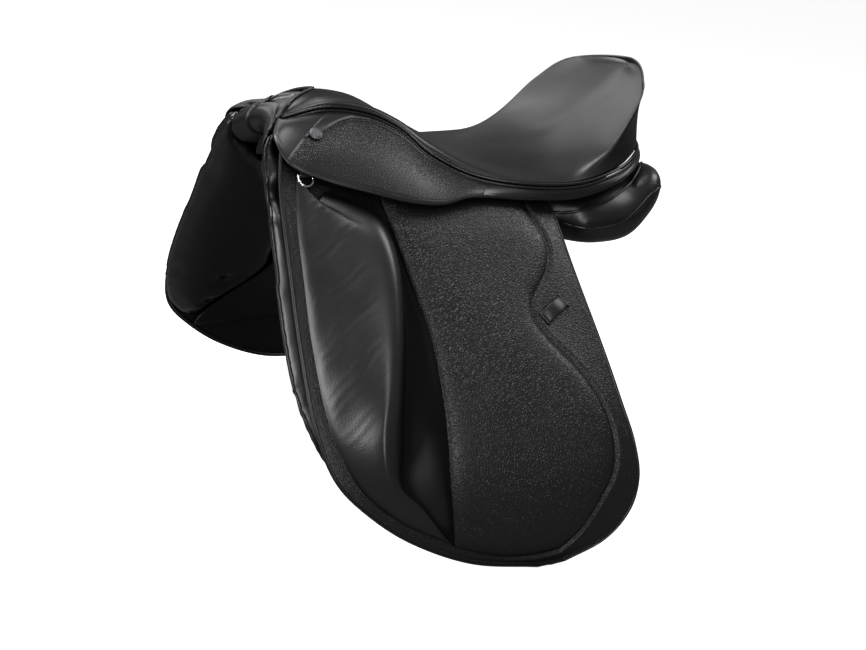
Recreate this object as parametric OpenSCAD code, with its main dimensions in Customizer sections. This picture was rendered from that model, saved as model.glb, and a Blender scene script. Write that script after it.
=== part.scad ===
// Dressage saddle. X points forward to the pommel, Y to the horse's left, Z up.
// The origin is on the centre plane, in the gullet under the deepest part of the seat.

/* [Seat] */
// Seat length, from the saddle nail to the top of the cantle
seat_len = 450; // [430:5:465]
// Widest part of the seat, from welt to welt
seat_w = 252; // [240:2:264]
// Height of the cantle's top over the gullet
cantle_h = 155; // [149:1:161]
// Thickness of the seat leather
cover_t = 2.4; // [1.6:0.2:3]

/* [Flaps] */
// Depth of the flaps below the gullet
flap_drop = 330; // [310:5:345]
// Spread of each flap over its depth, from the horse's sides
flap_slope = 0.697; // [0.66:0.005:0.73]
// Thickness of the flap leather
flap_t = 4; // [3:0.5:4.5]
// Height of the thigh block over the flap
block_h = 30; // [18:1:32]

/* [Panels] */
// Half the width of the gullet channel
gullet_half = 31; // [27:1:33]
// Thickness of the long front cushions under the flaps
fore_t = 23; // [18:1:24]

/* [Stirrup bars and straps] */
// Width of the stirrup leather that the bars take
leather_w = 30; // [26:1:32]
// Width of a girth strap
strap_w = 26; // [22:1:28]
// Radius of the holes in the girth straps
strap_hole_r = 2.5; // [2:0.25:3]

/* [Hidden] */

kx = seat_len / 450;
ky = seat_w / 252;
kz = cantle_h / 155;

// Guide stations of the seat from the pommel to the middle of the cantle:
// the centre line, the rim that the rider's seat rests inside, and the welt.
seat_mid = [for (p = [[162, 124], [128, 116], [88, 100], [50, 83], [14, 67], [-30, 57],
    [-80, 58], [-130, 71], [-175, 94], [-212, 119], [-238, 139], [-250, 149]])
    [p[0] * kx, 0, p[1] * kz]];
seat_rim = [for (p = [[212, 23, 103], [164, 28, 117], [118, 30, 113], [80, 37, 98],
    [46, 47, 77], [6, 60, 58], [-44, 74, 46], [-96, 94, 48], [-145, 108, 74],
    [-190, 107, 111], [-228, 75, 142], [-256, 0, 155]])
    [p[0] * kx, p[1] * ky, p[2] * kz]];
seat_edge = [for (p = [[218, 28, 100], [169, 34, 113], [120, 39, 109], [82, 50, 94],
    [48, 68, 67], [6, 94, 49], [-50, 117, 43], [-112, 126, 44], [-164, 120, 55],
    [-203, 99, 66], [-234, 60, 72], [-252, 0, 72]])
    [p[0] * kx, p[1] * ky, p[2] * kz]];
// Lower edge of the skirt: front corner, belly over the stirrup bar, band round the cantle.
skirt_edge = [for (p = [[224, 38, 98], [237, 68, 87], [228, 95, 65], [190, 108, 50],
    [145, 119, 39], [100, 127, 29], [62, 130, 26], [28, 126, 31], [-8, 122, 28],
    [-50, 125, 25], [-112, 130, 26], [-166, 130, 42], [-206, 108, 57], [-238, 62, 65],
    [-256, 0, 66]])
    [p[0] * kx, p[1] * ky, p[2] * kz]];
// Places along the welt, from 0 to 1, that the stations of the skirt hang from.
skirt_from = [0, 0.055, 0.11, 0.17, 0.24, 0.31, 0.38, 0.45, 0.5, 0.55, 0.64, 0.73, 0.82,
    0.91, 1];

welt_r = 2.2;
skirt_t = 3.6;
clear = 0.6;

// ---- helpers ----

function mix(a, b, t) = a + (b - a) * t;
function ease(t) = let (c = min(1, max(0, t))) c * c * (3 - 2 * c);
function flip(p) = [p[0], -p[1], p[2]];
function unit(v) = v / norm(v);

// Point at u, from 0 to 1, on a smooth curve through P. The curve leaves its last point
// square to the centre plane when closing is true.
function on(P, u, closing = false) =
    let (n = len(P) - 1, s = min(n - 1, floor(u * n)), t = u * n - s,
        b = P[s], c = P[s + 1],
        a = s > 0 ? P[s - 1] : 2 * b - c,
        d = s < n - 1 ? P[s + 2] : (closing ? flip(P[n - 1]) : 2 * c - b))
    0.5 * (2 * b + (c - a) * t + (2 * a - 5 * b + 4 * c - d) * t * t
        + (3 * b - a - 3 * c + d) * t * t * t);

// Value at u of a list of plain numbers, joined by straight lines.
function at(L, u) =
    let (n = len(L) - 1, s = min(n - 1, floor(u * n)))
    mix(L[s], L[s + 1], u * n - s);

// Closed solid between two equal grids of points: rows run along, columns across.
module sheet(top, under) {
    rows = len(top);
    cols = len(top[0]);
    n = rows * cols;
    function id(k, i, j) = k * n + i * cols + j;
    points = concat([for (r = top) each r], [for (r = under) each r]);
    skins = [for (i = [0 : rows - 2], j = [0 : cols - 2]) each [
        [id(0, i, j), id(0, i, j + 1), id(0, i + 1, j + 1)],
        [id(0, i, j), id(0, i + 1, j + 1), id(0, i + 1, j)],
        [id(1, i, j), id(1, i + 1, j + 1), id(1, i, j + 1)],
        [id(1, i, j), id(1, i + 1, j), id(1, i + 1, j + 1)]]];
    ends = [for (j = [0 : cols - 2]) each [
        [id(0, 0, j + 1), id(0, 0, j), id(1, 0, j)],
        [id(0, 0, j + 1), id(1, 0, j), id(1, 0, j + 1)],
        [id(0, rows - 1, j), id(0, rows - 1, j + 1), id(1, rows - 1, j + 1)],
        [id(0, rows - 1, j), id(1, rows - 1, j + 1), id(1, rows - 1, j)]]];
    sides = [for (i = [0 : rows - 2]) each [
        [id(0, i, 0), id(0, i + 1, 0), id(1, i + 1, 0)],
        [id(0, i, 0), id(1, i + 1, 0), id(1, i, 0)],
        [id(0, i + 1, cols - 1), id(0, i, cols - 1), id(1, i, cols - 1)],
        [id(0, i + 1, cols - 1), id(1, i, cols - 1), id(1, i + 1, cols - 1)]]];
    polyhedron(points, concat(skins, ends, sides));
}

// Solid through a list of closed rings of points, flat at both ends or closed on itself.
module rings(R, loop = false) {
    m = len(R);
    n = len(R[0]);
    last = loop ? m - 1 : m - 2;
    function id(i, j) = (i % m) * n + j % n;
    walls = [for (i = [0 : last], j = [0 : n - 1]) each [
        [id(i, j), id(i, j + 1), id(i + 1, j + 1)],
        [id(i, j), id(i + 1, j + 1), id(i + 1, j)]]];
    caps = loop ? [] : [[for (j = [n - 1 : -1 : 0]) id(0, j)],
        [for (j = [0 : n - 1]) id(m - 1, j)]];
    polyhedron([for (r = R) each r], concat(walls, caps));
}

module left_and(right) {
    if (right) mirror([0, 1, 0]) children();
    else children();
}

// ---- surfaces ----

// Across the seat at u: v is -1 at the right welt, 0 on the centre line, 1 at the left welt.
rim_v = 0.72;
function seat_at(u, v) =
    let (s = on(seat_mid, u), r = on(seat_rim, u, true), w = on(seat_edge, u, true),
        a = abs(v), t = a / rim_v, q = (a - rim_v) / (1 - rim_v),
        p = a < rim_v ? [mix(s[0], r[0], t), r[1] * t, mix(s[2], r[2], t * t)]
            : [mix(r[0], w[0], 1 - cos(90 * q)), mix(r[1], w[1], sin(90 * q)),
                mix(r[2], w[2], 1 - cos(90 * q))])
    v < 0 ? flip(p) : p;
// The seat's surface moved down and inward by d.
function seat_in(u, v, d) =
    let (p = seat_at(u, v), a = abs(v), side = ease((a - 0.45) / 0.55),
        back = ease((u - 0.75) / 0.25),
        y = abs(p[1]) * (1 - 0.8 * d * side / max(40, abs(p[1]))))
    [p[0] + d * (0.3 + 0.7 * side) * back, (p[1] < 0 ? -y : y), p[2] - d * (1 - 0.5 * side * back)];

// Outer face of the flaps. It spreads at the slope of the horse's sides, then hangs.
flap_ref = 285;
bend_z = -224;
bend_r = 50;
front_x = 240;
function flap_y(x, z) =
    let (t = z - bend_z, toe = 0.14 * ease((40 - z) / 240) - 0.03 * ease((z + 20) / 60))
    flap_ref - flap_slope / 2 * (t + sqrt(t * t + bend_r * bend_r)) + toe * (front_x - x);
function flap_n(x, z) =
    unit([flap_y(x - 1, z) - flap_y(x + 1, z), 2, flap_y(x, z - 1) - flap_y(x, z + 1)]);
// A point on the flap's outer face, raised by h along its normal.
function flap_p(x, z, h = 0) = [x, flap_y(x, z), z] + h * flap_n(x, z);

// Outline of the flap in side view: front edge and rear edge, both down to the lowest point.
fz = flap_drop / 330;
flap_front = [for (p = [[228, 88], [240, 40], [245, -30], [248, -100], [246, -165],
    [232, -216], [199, -254], [148, -291], [80, -320], [5, -331]]) [p[0], p[1] * fz]];
flap_rear = [for (p = [[-88, 52], [-88, 12], [-91, -40], [-96, -100], [-101, -160],
    [-107, -200], [-109, -238], [-99, -275], [-72, -306], [-25, -328]]) [p[0], p[1] * fz]];

// Fold of the flap under the skirt: the axis runs just outside the leather.
flap_fold = [flap_p(240, 25, 1), flap_p(-95, 14, 1)];
fold_gap = 1.2;

// ---- tree ----

// Closed loop of the tree seen from above: head, waist, cantle.
tree_path = [for (p = [[208, 0, 84], [200, 26, 80], [168, 36, 78], [110, 40, 76], [60, 46, 60],
    [10, 58, 42], [-50, 66, 34], [-110, 76, 36], [-160, 78, 45], [-200, 66, 62],
    [-222, 36, 84], [-228, 0, 94]])
    [p[0] * kx, p[1] * ky, p[2] * kz]];
tree_w = 14;
tree_h = 4.5;
module tree_frame() {
    half = [for (k = [0 : 22]) on(tree_path, k / 22, true)];
    path = concat(half, [for (k = [21 : -1 : 1]) flip(half[k])]);
    m = len(path);
    color("burlywood") difference() {
        rings([for (i = [0 : m - 1])
            let (p = path[i], d = unit(path[(i + 1) % m] - path[(i + m - 1) % m]),
                s = unit(cross(d, [0, 0, 1])), up = cross(s, d))
            [for (a = [22.5 : 45 : 359]) p + s * tree_w * cos(a) + up * tree_h * sin(a)]],
            loop = true);
        for (p = rivet_places) translate([p[0], p[1], 40])
            cylinder(r = rivet_r + 0.05, h = 80, $fn = 32);
    }
}

rivet_r = 2.5;
rivet_places = [for (s = [-1, 1], p = [[186, 31], [150, 37]]) [p[0] * kx, s * p[1] * ky]];
plate_t = 2;
// Steel arch across the head: its top is at height z0, and it drops toward both sides.
module arch(x, w, z0, drop, half, t) {
    n = 14;
    reach = 78;
    function over(k) = let (a = mix(-reach, reach, k / n)) [half * sin(a), z0 - drop * (1 - cos(a))];
    translate([x - w / 2, 0, 0]) rotate([90, 0, 90]) linear_extrude(w)
        polygon(concat([for (k = [0 : n]) over(k)],
            [for (k = [n : -1 : 0]) let (q = over(k)) [q[0] * (1 - t / half), q[1] - t]]));
}
module head_plate() {
    color("silver") arch(196 * kx, 22, 98 * kz, 42, 64 * ky, plate_t);
}
module gullet_plate() {
    color("silver") arch(200 * kx, 24, 74 * kz, 40, 44 * ky, plate_t);
}
module tree_rivets() {
    color("silver") for (p = rivet_places)
        translate([p[0], p[1], 73 * kz - tree_h - 5])
            cylinder(r = rivet_r, h = 2 * tree_h + 12, $fn = 32);
}

// Webs strained lengthways and across the tree's opening.
module seat_webbing() {
    color("wheat") sheet(
        [for (k = [12 : -1 : 0]) let (u = mix(0.3, 0.86, k / 12))
            [for (v = [-0.5 : 0.25 : 0.5]) seat_in(u, v, 12.5)]],
        [for (k = [12 : -1 : 0]) let (u = mix(0.3, 0.86, k / 12))
            [for (v = [-0.5 : 0.25 : 0.5]) seat_in(u, v, 14)]]);
}

// ---- seat ----

// Rows across the seat, and a last one down the back of the cantle on the centre plane.
seat_rows = 30;
seat_cols = 16;
module seat_shell(d0, d1, v1, u0) {
    n = (seat_rows + 1) * (seat_cols + 1);
    half = seat_cols / 2;
    function v_of(j) = v1 * (1 - j / half);
    function id(k, i, j) = k * n + i * (seat_cols + 1) + (i == seat_rows && j > half ? seat_cols - j : j);
    function grid(d) = [for (i = [0 : seat_rows], j = [0 : seat_cols])
        seat_in(mix(u0, 1, i / seat_rows), v_of(j), d)];
    skins = [for (i = [0 : seat_rows - 1], j = [0 : seat_cols - 1]) each [
        [id(0, i, j), id(0, i, j + 1), id(0, i + 1, j + 1)],
        [id(0, i, j), id(0, i + 1, j + 1), id(0, i + 1, j)],
        [id(1, i, j), id(1, i + 1, j + 1), id(1, i, j + 1)],
        [id(1, i, j), id(1, i + 1, j), id(1, i + 1, j + 1)]]];
    front = [for (j = [0 : seat_cols - 1]) each [
        [id(0, 0, j + 1), id(0, 0, j), id(1, 0, j)],
        [id(0, 0, j + 1), id(1, 0, j), id(1, 0, j + 1)]]];
    sides = [for (i = [0 : seat_rows - 1]) each [
        [id(0, i, 0), id(0, i + 1, 0), id(1, i + 1, 0)],
        [id(0, i, 0), id(1, i + 1, 0), id(1, i, 0)],
        [id(0, i + 1, seat_cols), id(0, i, seat_cols), id(1, i, seat_cols)],
        [id(0, i + 1, seat_cols), id(1, i, seat_cols), id(1, i + 1, seat_cols)]]];
    polyhedron(concat(grid(d0), grid(d1)), concat(skins, front, sides));
}
module seat_cover() {
    color([0.09, 0.09, 0.1]) seat_shell(0, cover_t, 0.985, 0);
}
module seat_foam() {
    function row(k, d) = [for (j = [-6 : 6]) seat_in(mix(0.04, 0.93, k / 20), -j / 6 * 0.62, d)];
    color("ivory") sheet([for (k = [0 : 20]) row(k, cover_t + 0.8)], [for (k = [0 : 20]) row(k, 10.5)]);
}

// Piping sewn along the edge of the seat, from one side of the head round to the other.
module seat_welt() {
    n = 44;
    path = [for (k = [-n : n]) let (p = on(seat_edge, 1 - abs(k) / n, true)
        + [0, 0.8 * welt_r, -1.6 * welt_r]) k < 0 ? p : flip(p)];
    color([0.07, 0.07, 0.08]) rings([for (i = [0 : 2 * n])
        let (d = unit(path[min(2 * n, i + 1)] - path[max(0, i - 1)]), s = unit(cross([0, 0, 1], d)),
            up = cross(d, s))
        [for (a = [0 : 60 : 359]) path[i] + welt_r * (s * cos(a) - up * sin(a))]]);
}

// Rolled leather facing that closes the cut-back head between the two corners.
module pommel_facing() {
    corner = seat_at(0, 0.985);
    top = seat_at(0, 0);
    n = 16;
    path = [for (k = [-n : n]) let (t = abs(k) / n, s = k < 0 ? 1 : -1)
        [mix(top[0], corner[0], t) + 3, s * corner[1] * t, mix(top[2], corner[2], pow(t, 1.4)) - 4]];
    color([0.08, 0.08, 0.09]) sheet(
        [for (p = path) [for (q = [0 : 4]) p + [5 + 8 * sin(22 * q), 0, -2.6 * q]]],
        [for (p = path) [for (q = [0 : 4]) p + [2 + 8 * sin(22 * q), 0, -2.6 * q]]]);
}

// ---- skirts ----

// Point on the skirt: u runs round the seat, v from the welt out to the free edge.
function skirt_at(u, v, h = 0) =
    let (a = on(seat_edge, at(skirt_from, u), true) + [0, 1.6, -2 * welt_r - 2.4],
        b = on(skirt_edge, u, true), swell = 6 * ease((0.6 - u) / 0.3) + 1.2,
        n = unit([0.2, 0.72, 0.66]))
    mix(a, b, v) + n * (swell * sin(180 * v) + h);
belly_end = 7.3 / 14;
// Fold of the skirt under the saddle nail, with its axis just outside the leather.
skirt_fold = [skirt_at(2.3 / 14, 0.66, 3), skirt_at(7.2 / 14, 0.42, 3)];
module skirt_sheet(u0, u1, vs) {
    n = 16;
    sheet([for (k = [n : -1 : 0]) let (u = mix(u0, u1, k / n))
            [for (q = [0 : 5]) skirt_at(u, mix(vs[0], vs[1], q / 5))]],
        [for (k = [n : -1 : 0]) let (u = mix(u0, u1, k / n))
            [for (q = [0 : 5]) skirt_at(u, mix(vs[0], vs[1], q / 5), -skirt_t)]]);
}
// Half space beyond the skirt's fold, on the side of its free edge, held off by gap.
module below_fold(fold, gap, out) {
    d = unit(fold[0] - fold[1]);
    n = unit(cross(out, d));
    side = cross(d, n);
    multmatrix([[d[0], n[0], side[0], fold[1][0]], [d[1], n[1], side[1], fold[1][1]],
        [d[2], n[2], side[2], fold[1][2]], [0, 0, 0, 1]])
        translate([-400, gap, -400]) cube([1200, 700, 800]);
}
module skirt_root(right) {
    color([0.1, 0.1, 0.11]) left_and(right) difference() {
        skirt_sheet(0.012, belly_end, [0.02, 0.8]);
        below_fold(skirt_fold, -fold_gap / 2, [0, 0.72, 0.7]);
        nail_at(3.4, 20);
    }
}
module skirt(right) {
    color([0.12, 0.12, 0.13]) left_and(right) intersection() {
        skirt_sheet(0.012, belly_end, [0.02, 1]);
        below_fold(skirt_fold, fold_gap / 2, [0, 0.72, 0.7]);
    }
}
module rear_skirt() {
    n = 26;
    u0 = belly_end + 0.006;
    us = [for (k = [-n : n]) 1 - (1 - u0) * abs(k) / n];
    function row(k, h) = [for (q = [0 : 3]) let (p = skirt_at(us[k], mix(0.04, 1, q / 3), h))
        k < n ? p : flip(p)];
    color([0.11, 0.11, 0.12]) sheet([for (k = [2 * n : -1 : 0]) row(k, 0)],
        [for (k = [2 * n : -1 : 0]) row(k, -skirt_t + 0.6)]);
}

// Round-headed nail that holds the skirt to the tree.
nail_p = skirt_at(0.147, 0.51);
nail_lean = 42;
nail_shank = 6;
module nail_at(r, h) {
    translate(nail_p) rotate([-nail_lean, 0, 0]) translate([0, 0, -h]) cylinder(r = r, h = h + 10, $fn = 32);
}
module saddle_nail(right) {
    color("dimgray") left_and(right) translate(nail_p) rotate([-nail_lean, 0, 0]) union() {
        translate([0, 0, -nail_shank]) cylinder(r = 2.5, h = nail_shank + 3, $fn = 32);
        translate([0, 0, 2.4]) cylinder(r = 7.2, h = 1.4, $fn = 48);
        translate([0, 0, 3.7]) cylinder(r1 = 7, r2 = 4.6, h = 1.2, $fn = 48);
    }
}

// ---- stirrup bars ----

bar_p = [146 * kx, 97, 52];
bar_r = 3;
bar_len = leather_w + 14;
bar_tilt = 12;
pin_r = 1.2;
// Shoulder of the tree that the bar is riveted to.
module tree_point(right) {
    function row(x) = [[x, 55.5 * ky, 69], [x, 67, 65], [x, 78.5, 57], [x, 78.5, 40]];
    rows = [for (k = [0 : 5]) row(mix(100, 156, k / 5))];
    color("burlywood") left_and(right)
        sheet([for (r = rows) [for (p = r) p + [0, 2.6, 2.2]]],
            [for (r = rows) [for (p = r) p - [0, 1, 2]]]);
}
// Frame of the bar: X runs back along it, Y outward, Z up.
module on_bar() {
    translate(bar_p) rotate([0, bar_tilt, 180]) mirror([0, 1, 0]) children();
}
module stirrup_bar(right) {
    color("silver") left_and(right) on_bar() difference() {
        union() {
            rotate([0, 90, 0]) cylinder(r = bar_r, h = bar_len, $fn = 40);
            translate([-4, -12, -bar_r]) cube([7, 15, 2 * bar_r]);
            translate([bar_len - 9, -12, -bar_r]) cube([5, 10, 2 * bar_r]);
            translate([-4, -14, -9]) cube([bar_len, 2.2, 22]);
        }
        translate([bar_len - 5.2, -1.6, -6]) cube([9.2, 3.2, 12]);
        translate([bar_len - 2, 6, 0]) rotate([90, 0, 0]) cylinder(r = pin_r + 0.05, h = 12, $fn = 32);
        for (x = [5, bar_len - 14]) translate([x, 0, 8]) rotate([90, 0, 0])
            cylinder(r = 1.6, h = 20, $fn = 32);
    }
}
module catch_pin(right) {
    color("silver") left_and(right) on_bar() translate([bar_len - 2, 2.6, 0])
        rotate([90, 0, 0]) cylinder(r = pin_r, h = 5.2, $fn = 32);
}
module bar_catch(right) {
    color("silver") left_and(right) on_bar() translate([bar_len - 2, 1.4, 0]) rotate([90, 0, 0])
        linear_extrude(2.8) difference() {
            union() {
                circle(r = 2.6, $fn = 40);
                translate([0, -2.2]) square([9, 4.4]);
                translate([7, -2.2]) square([2.6, 7]);
            }
            circle(r = pin_r + 0.05, $fn = 32);
        }
}

// ---- front dees ----

dee_r = 8;
dee_wire = 1.5;
dee_x = 212;
dee_z = 50;
dee_p = flap_p(dee_x, dee_z, 5.4);
module on_dee() {
    translate(dee_p) rotate([30, 0, 0]) children();
}
// Plane D: straight bar along X at the top, half ring below.
module front_dee(right) {
    color("silver") left_and(right) on_dee() {
        translate([-dee_r, 0, 0]) rotate([0, 90, 0]) cylinder(r = dee_wire, h = 2 * dee_r, $fn = 32);
        for (s = [-1, 1]) translate([s * dee_r, 0, -4]) cylinder(r = dee_wire, h = 4, $fn = 32);
        for (s = [-1, 1]) translate([s * dee_r, 0, 0]) sphere(r = dee_wire, $fn = 32);
        translate([0, 0, -4]) rotate([90, 0, 0]) rotate([0, 0, 180])
            rotate_extrude(angle = 180, $fn = 64) translate([dee_r, 0]) circle(r = dee_wire, $fn = 32);
    }
}
module dee_chape(right) {
    color([0.1, 0.1, 0.1]) left_and(right) on_dee() difference() {
        translate([-5.5, -2.8, -2.6]) cube([11, 5.6, 5.4]);
        translate([-7, 0, 0]) rotate([0, 90, 0]) cylinder(r = dee_wire + 0.06, h = 14, $fn = 32);
    }
}

// ---- flaps ----

// Point of the flap: a runs down its outline, c back from the front edge to the rear edge.
function flap_xz(a, c) = mix(on(flap_front, a), on(flap_rear, a), c);
module flap_sheet(a0, a1, h0, h1, c0 = 0, c1 = 1, rows = 26, cols = 9) {
    function row(k, h) = [for (j = [0 : cols])
        let (q = flap_xz(mix(a0, a1, k / rows), mix(c0, c1, j / cols))) flap_p(q[0], q[1], h)];
    sheet([for (k = [0 : rows]) row(k, h1)], [for (k = [0 : rows]) row(k, h0)]);
}
module flap_root(right) {
    color([0.12, 0.12, 0.12]) left_and(right) difference() {
        flap_sheet(0, 0.2, -flap_t, 0, rows = 6);
        below_fold(flap_fold, -fold_gap / 2, [0, 0.82, 0.57]);
        translate([0, 140, 0]) rotate([90, 0, 0]) linear_extrude(100)
            polygon([[-120, 40], [bar_p[0] - bar_len - 12, 40], [bar_p[0] - bar_len - 12, 39],
                     [bar_p[0] + 16, 39], [bar_p[0] + 16, 120], [-120, 120]]);
    }
}
module flap(right) {
    color([0.16, 0.16, 0.17]) left_and(right) intersection() {
        flap_sheet(0.02, 1, -flap_t, 0);
        below_fold(flap_fold, fold_gap / 2, [0, 0.82, 0.57]);
    }
}

// Padded pebbled panel between the thigh block and the rear edge.
pad_front = [[122, -2], [112, -60], [107, -130], [112, -215], [106, -290]];
pad_rear = [[-50, -2], [-48, -40], [-22, -78], [-66, -150], [-22, -300]];
module flap_pad(right) {
    function row(k, h) = [for (j = [0 : 7])
        let (q = mix(on(pad_front, k / 16), on(pad_rear, k / 16), j / 7)) flap_p(q[0], q[1], h)];
    color([0.14, 0.14, 0.15]) left_and(right)
        sheet([for (k = [0 : 16]) row(k, 4)], [for (k = [0 : 16]) row(k, 1.4)]);
}

// Thigh block: front seam, crest and steep rear edge, from under the skirt to the hem.
block_front = [[214, 8], [233, -60], [232, -130], [214, -205], [174, -250], [124, -284]];
block_rear = [[152, 4], [126, -40], [124, -100], [128, -160], [128, -220], [114, -286]];
module thigh_block(right) {
    n = 22;
    function h_of(k) = block_h * ease(k / 5) * ease((n + 1.5 - k) / 6) + 2;
    function row(k, h) = let (a = on(block_front, k / n), b = on(block_rear, k / n))
        [for (j = [0 : 8]) let (q = mix(a, b, j / 8), s = ease(j / 6.4) * ease((8.8 - j) / 1.4))
            flap_p(q[0], q[1], h ? 2 + h_of(k) * s : 1.2)];
    color([0.17, 0.17, 0.18]) left_and(right)
        sheet([for (k = [0 : n]) row(k, true)], [for (k = [0 : n]) row(k, false)]);
}

// Leather loop that the end of the stirrup leather is tucked through.
keeper_p = [-50, -78];
module flap_keeper(right) {
    o = flap_p(keeper_p[0], keeper_p[1], 4.2);
    color([0.1, 0.1, 0.1]) left_and(right) translate(o) rotate([-36, 0, 0]) rotate([0, 0, 6])
        difference() {
            translate([-14, -17, 0]) cube([28, 34, 6.5]);
            translate([-10.5, -20, 1.6]) cube([21, 40, 3]);
        }
}

// ---- girthing ----

strap_t = 3.5;
strap_h = -8;
strap_z = 0;
strap_len = 215;
strap_x = [52, -28];
module strap(right, x0) {
    color([0.13, 0.12, 0.12]) left_and(right) difference() {
        sheet([for (k = [0 : 18]) let (z = strap_z - strap_len * k / 18)
                [for (j = [-1 : 1]) flap_p(x0 - j * strap_w / 2 * (k == 18 ? 0.5 : 1), z, strap_h)]],
            [for (k = [0 : 18]) let (z = strap_z - strap_len * k / 18)
                [for (j = [-1 : 1]) flap_p(x0 - j * strap_w / 2 * (k == 18 ? 0.5 : 1), z,
                    strap_h - strap_t)]]);
        strap_bore(x0, -8, strap_pin_r + 0.05);
        for (i = [0 : 5]) strap_bore(x0, -95 - 20 * i, strap_hole_r);
    }
}
// Round hole square through a strap at height z.
module strap_bore(x0, z, r, h = 24) {
    o = flap_p(x0, z, strap_h - strap_t / 2);
    n = flap_n(x0, z);
    translate(o) rotate([asin(n[2]), 0, 0]) rotate([90, 0, 0]) translate([0, 0, -h / 2])
        cylinder(r = r, h = h, $fn = 32);
}
strap_pin_r = 2;
module strap_pins(right) {
    color("silver") left_and(right) for (x0 = strap_x)
        strap_bore(x0, -8, strap_pin_r, strap_t + 5.6);
}
// Web that hangs the straps from the tree.
module strap_web(right) {
    color("wheat") left_and(right) difference() {
        sheet([for (k = [6 : -1 : 0]) [for (x0 = [76, 40, 4, -24, -52])
                flap_p(x0, -22 + 8 * k, strap_h - strap_t - clear)]],
            [for (k = [6 : -1 : 0]) [for (x0 = [76, 40, 4, -24, -52])
                flap_p(x0, -22 + 8 * k, strap_h - strap_t - clear - 1.8)]]);
        for (x0 = strap_x) strap_bore(x0, -8, strap_pin_r + 0.05);
    }
}

// Thin under-flap that lies on the horse behind the long front cushion.
sweat_h = -15.5;
function fore_back(z) = mix(112, 206, ease((-140 - z) / 110));
module sweat_flap(right) {
    function row(k, h) = let (z = mix(8, -246, k / 16))
        [for (j = [0 : 6]) let (r = -96 + 60 * pow(k / 16, 4))
            flap_p(mix(fore_back(z) - 8, r, j / 6), z, h)];
    color([0.11, 0.11, 0.11]) left_and(right)
        sheet([for (k = [0 : 16]) row(k, sweat_h)], [for (k = [0 : 16]) row(k, sweat_h - 2.5)]);
}

// ---- panels ----

// Stations of the flocked panel: place along X, centre y and z, half width, half thickness,
// and the tilt that follows the horse's back.
panel_stations = [[124, 54, 34, 18, 8, -46], [104, 57, 26, 25, 12, -42], [60, 60, 16, 28, 15, -34],
    [10, 65, 7, 30, 18, -27], [-50, 70, -1, 33, 21, -21], [-94, 72, -4, 34, 24, -18],
    [-134, 81, -6, 47, 26, -16], [-170, 82, -4, 48, 29, -15], [-208, 80, 1, 45, 30, -12],
    [-240, 76, 14, 37, 26, -8], [-256, 73, 26, 20, 14, -4]];
module panel(right) {
    n = 30;
    function ring(u) = let (c = on(panel_stations, u))
        [for (a = [0 : 22.5 : 359])
            let (y = c[3] * sign(cos(a)) * pow(abs(cos(a)), 0.8),
                 z = c[4] * sign(sin(a)) * pow(abs(sin(a)), 0.8))
            [c[0] * kx, max(gullet_half, c[1] + y * cos(c[5]) - z * sin(c[5])),
             c[2] + y * sin(c[5]) + z * cos(c[5])]];
    color([0.08, 0.08, 0.09]) left_and(right) rings([for (k = [0 : n]) ring(k / n)]);
}

// Long front cushion under the flap. Its front edge stands proud of the flap: place along X
// and height, from the head down. Its rear edge rises to a point at the head.
fore_line = [[237, 84], [251, 66], [256, 35], [260, 0], [264, -50], [267, -100], [262, -150],
    [249, -190], [234, -212], [216, -228]];
function fore_rear(z) = max(fore_back(z), min(222, 193 + 1.25 * (z - 46)));
module fore_panel(right) {
    n = 24;
    // Under the stirrup bar the cushion is thin and lies deeper; over it, a tongue runs up
    // to the head.
    function ring(k) = let (p = on(fore_line, k / n), z = p[1],
        a = fore_rear(z),
        high = ease((z - 12) / 26) * (1 - ease((z - 40) / 16)), e = k == 0 || k == n ? 0.5 : 1,
        t = mix(fore_t, 12, high) / 2, deep = mix(flap_t + 1.5, 19, high))
        [for (q = [0 : 20 : 359]) let (c = cos(q), s = sin(q))
            flap_p(mix(a, p[0], 0.5 + 0.5 * e * sign(c) * pow(abs(c), 0.6)), z,
                -deep - t + t * e * sign(s) * pow(abs(s), 0.7))];
    color([0.07, 0.07, 0.08]) left_and(right) rings([for (k = [0 : n]) ring(k)]);
}
// Stitched tufts that keep the flocking in place, on the horse's side of the front cushion.
tuft_places = [[180, -153], [190, -193], [205, -215]];
module panel_tufts(right) {
    color([0.05, 0.05, 0.05]) left_and(right) for (p = tuft_places)
        let (o = flap_p(p[0], p[1], -flap_t - fore_t - 3.4), m = flap_n(p[0], p[1]))
        translate(o) rotate([asin(m[2]), 0, 0]) rotate([-90, 0, 0]) translate([0, 0, -1.2])
            cylinder(r = 5, h = 1.2, $fn = 40);
}

// Leather that lines the roof of the gullet between the panels.
module gullet_lining() {
    function row(k, h) = let (x = mix(140, -190, k / 12),
                              z = 20 - 6 * sin(180 * k / 12) + 40 * pow(1 - k / 12, 3))
        [for (j = [0 : 4]) [x * kx, mix(26, -26, j / 4), z + h]];
    color([0.1, 0.1, 0.1]) sheet([for (k = [0 : 12]) row(k, 1.8)], [for (k = [0 : 12]) row(k, 0)]);
}

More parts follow.
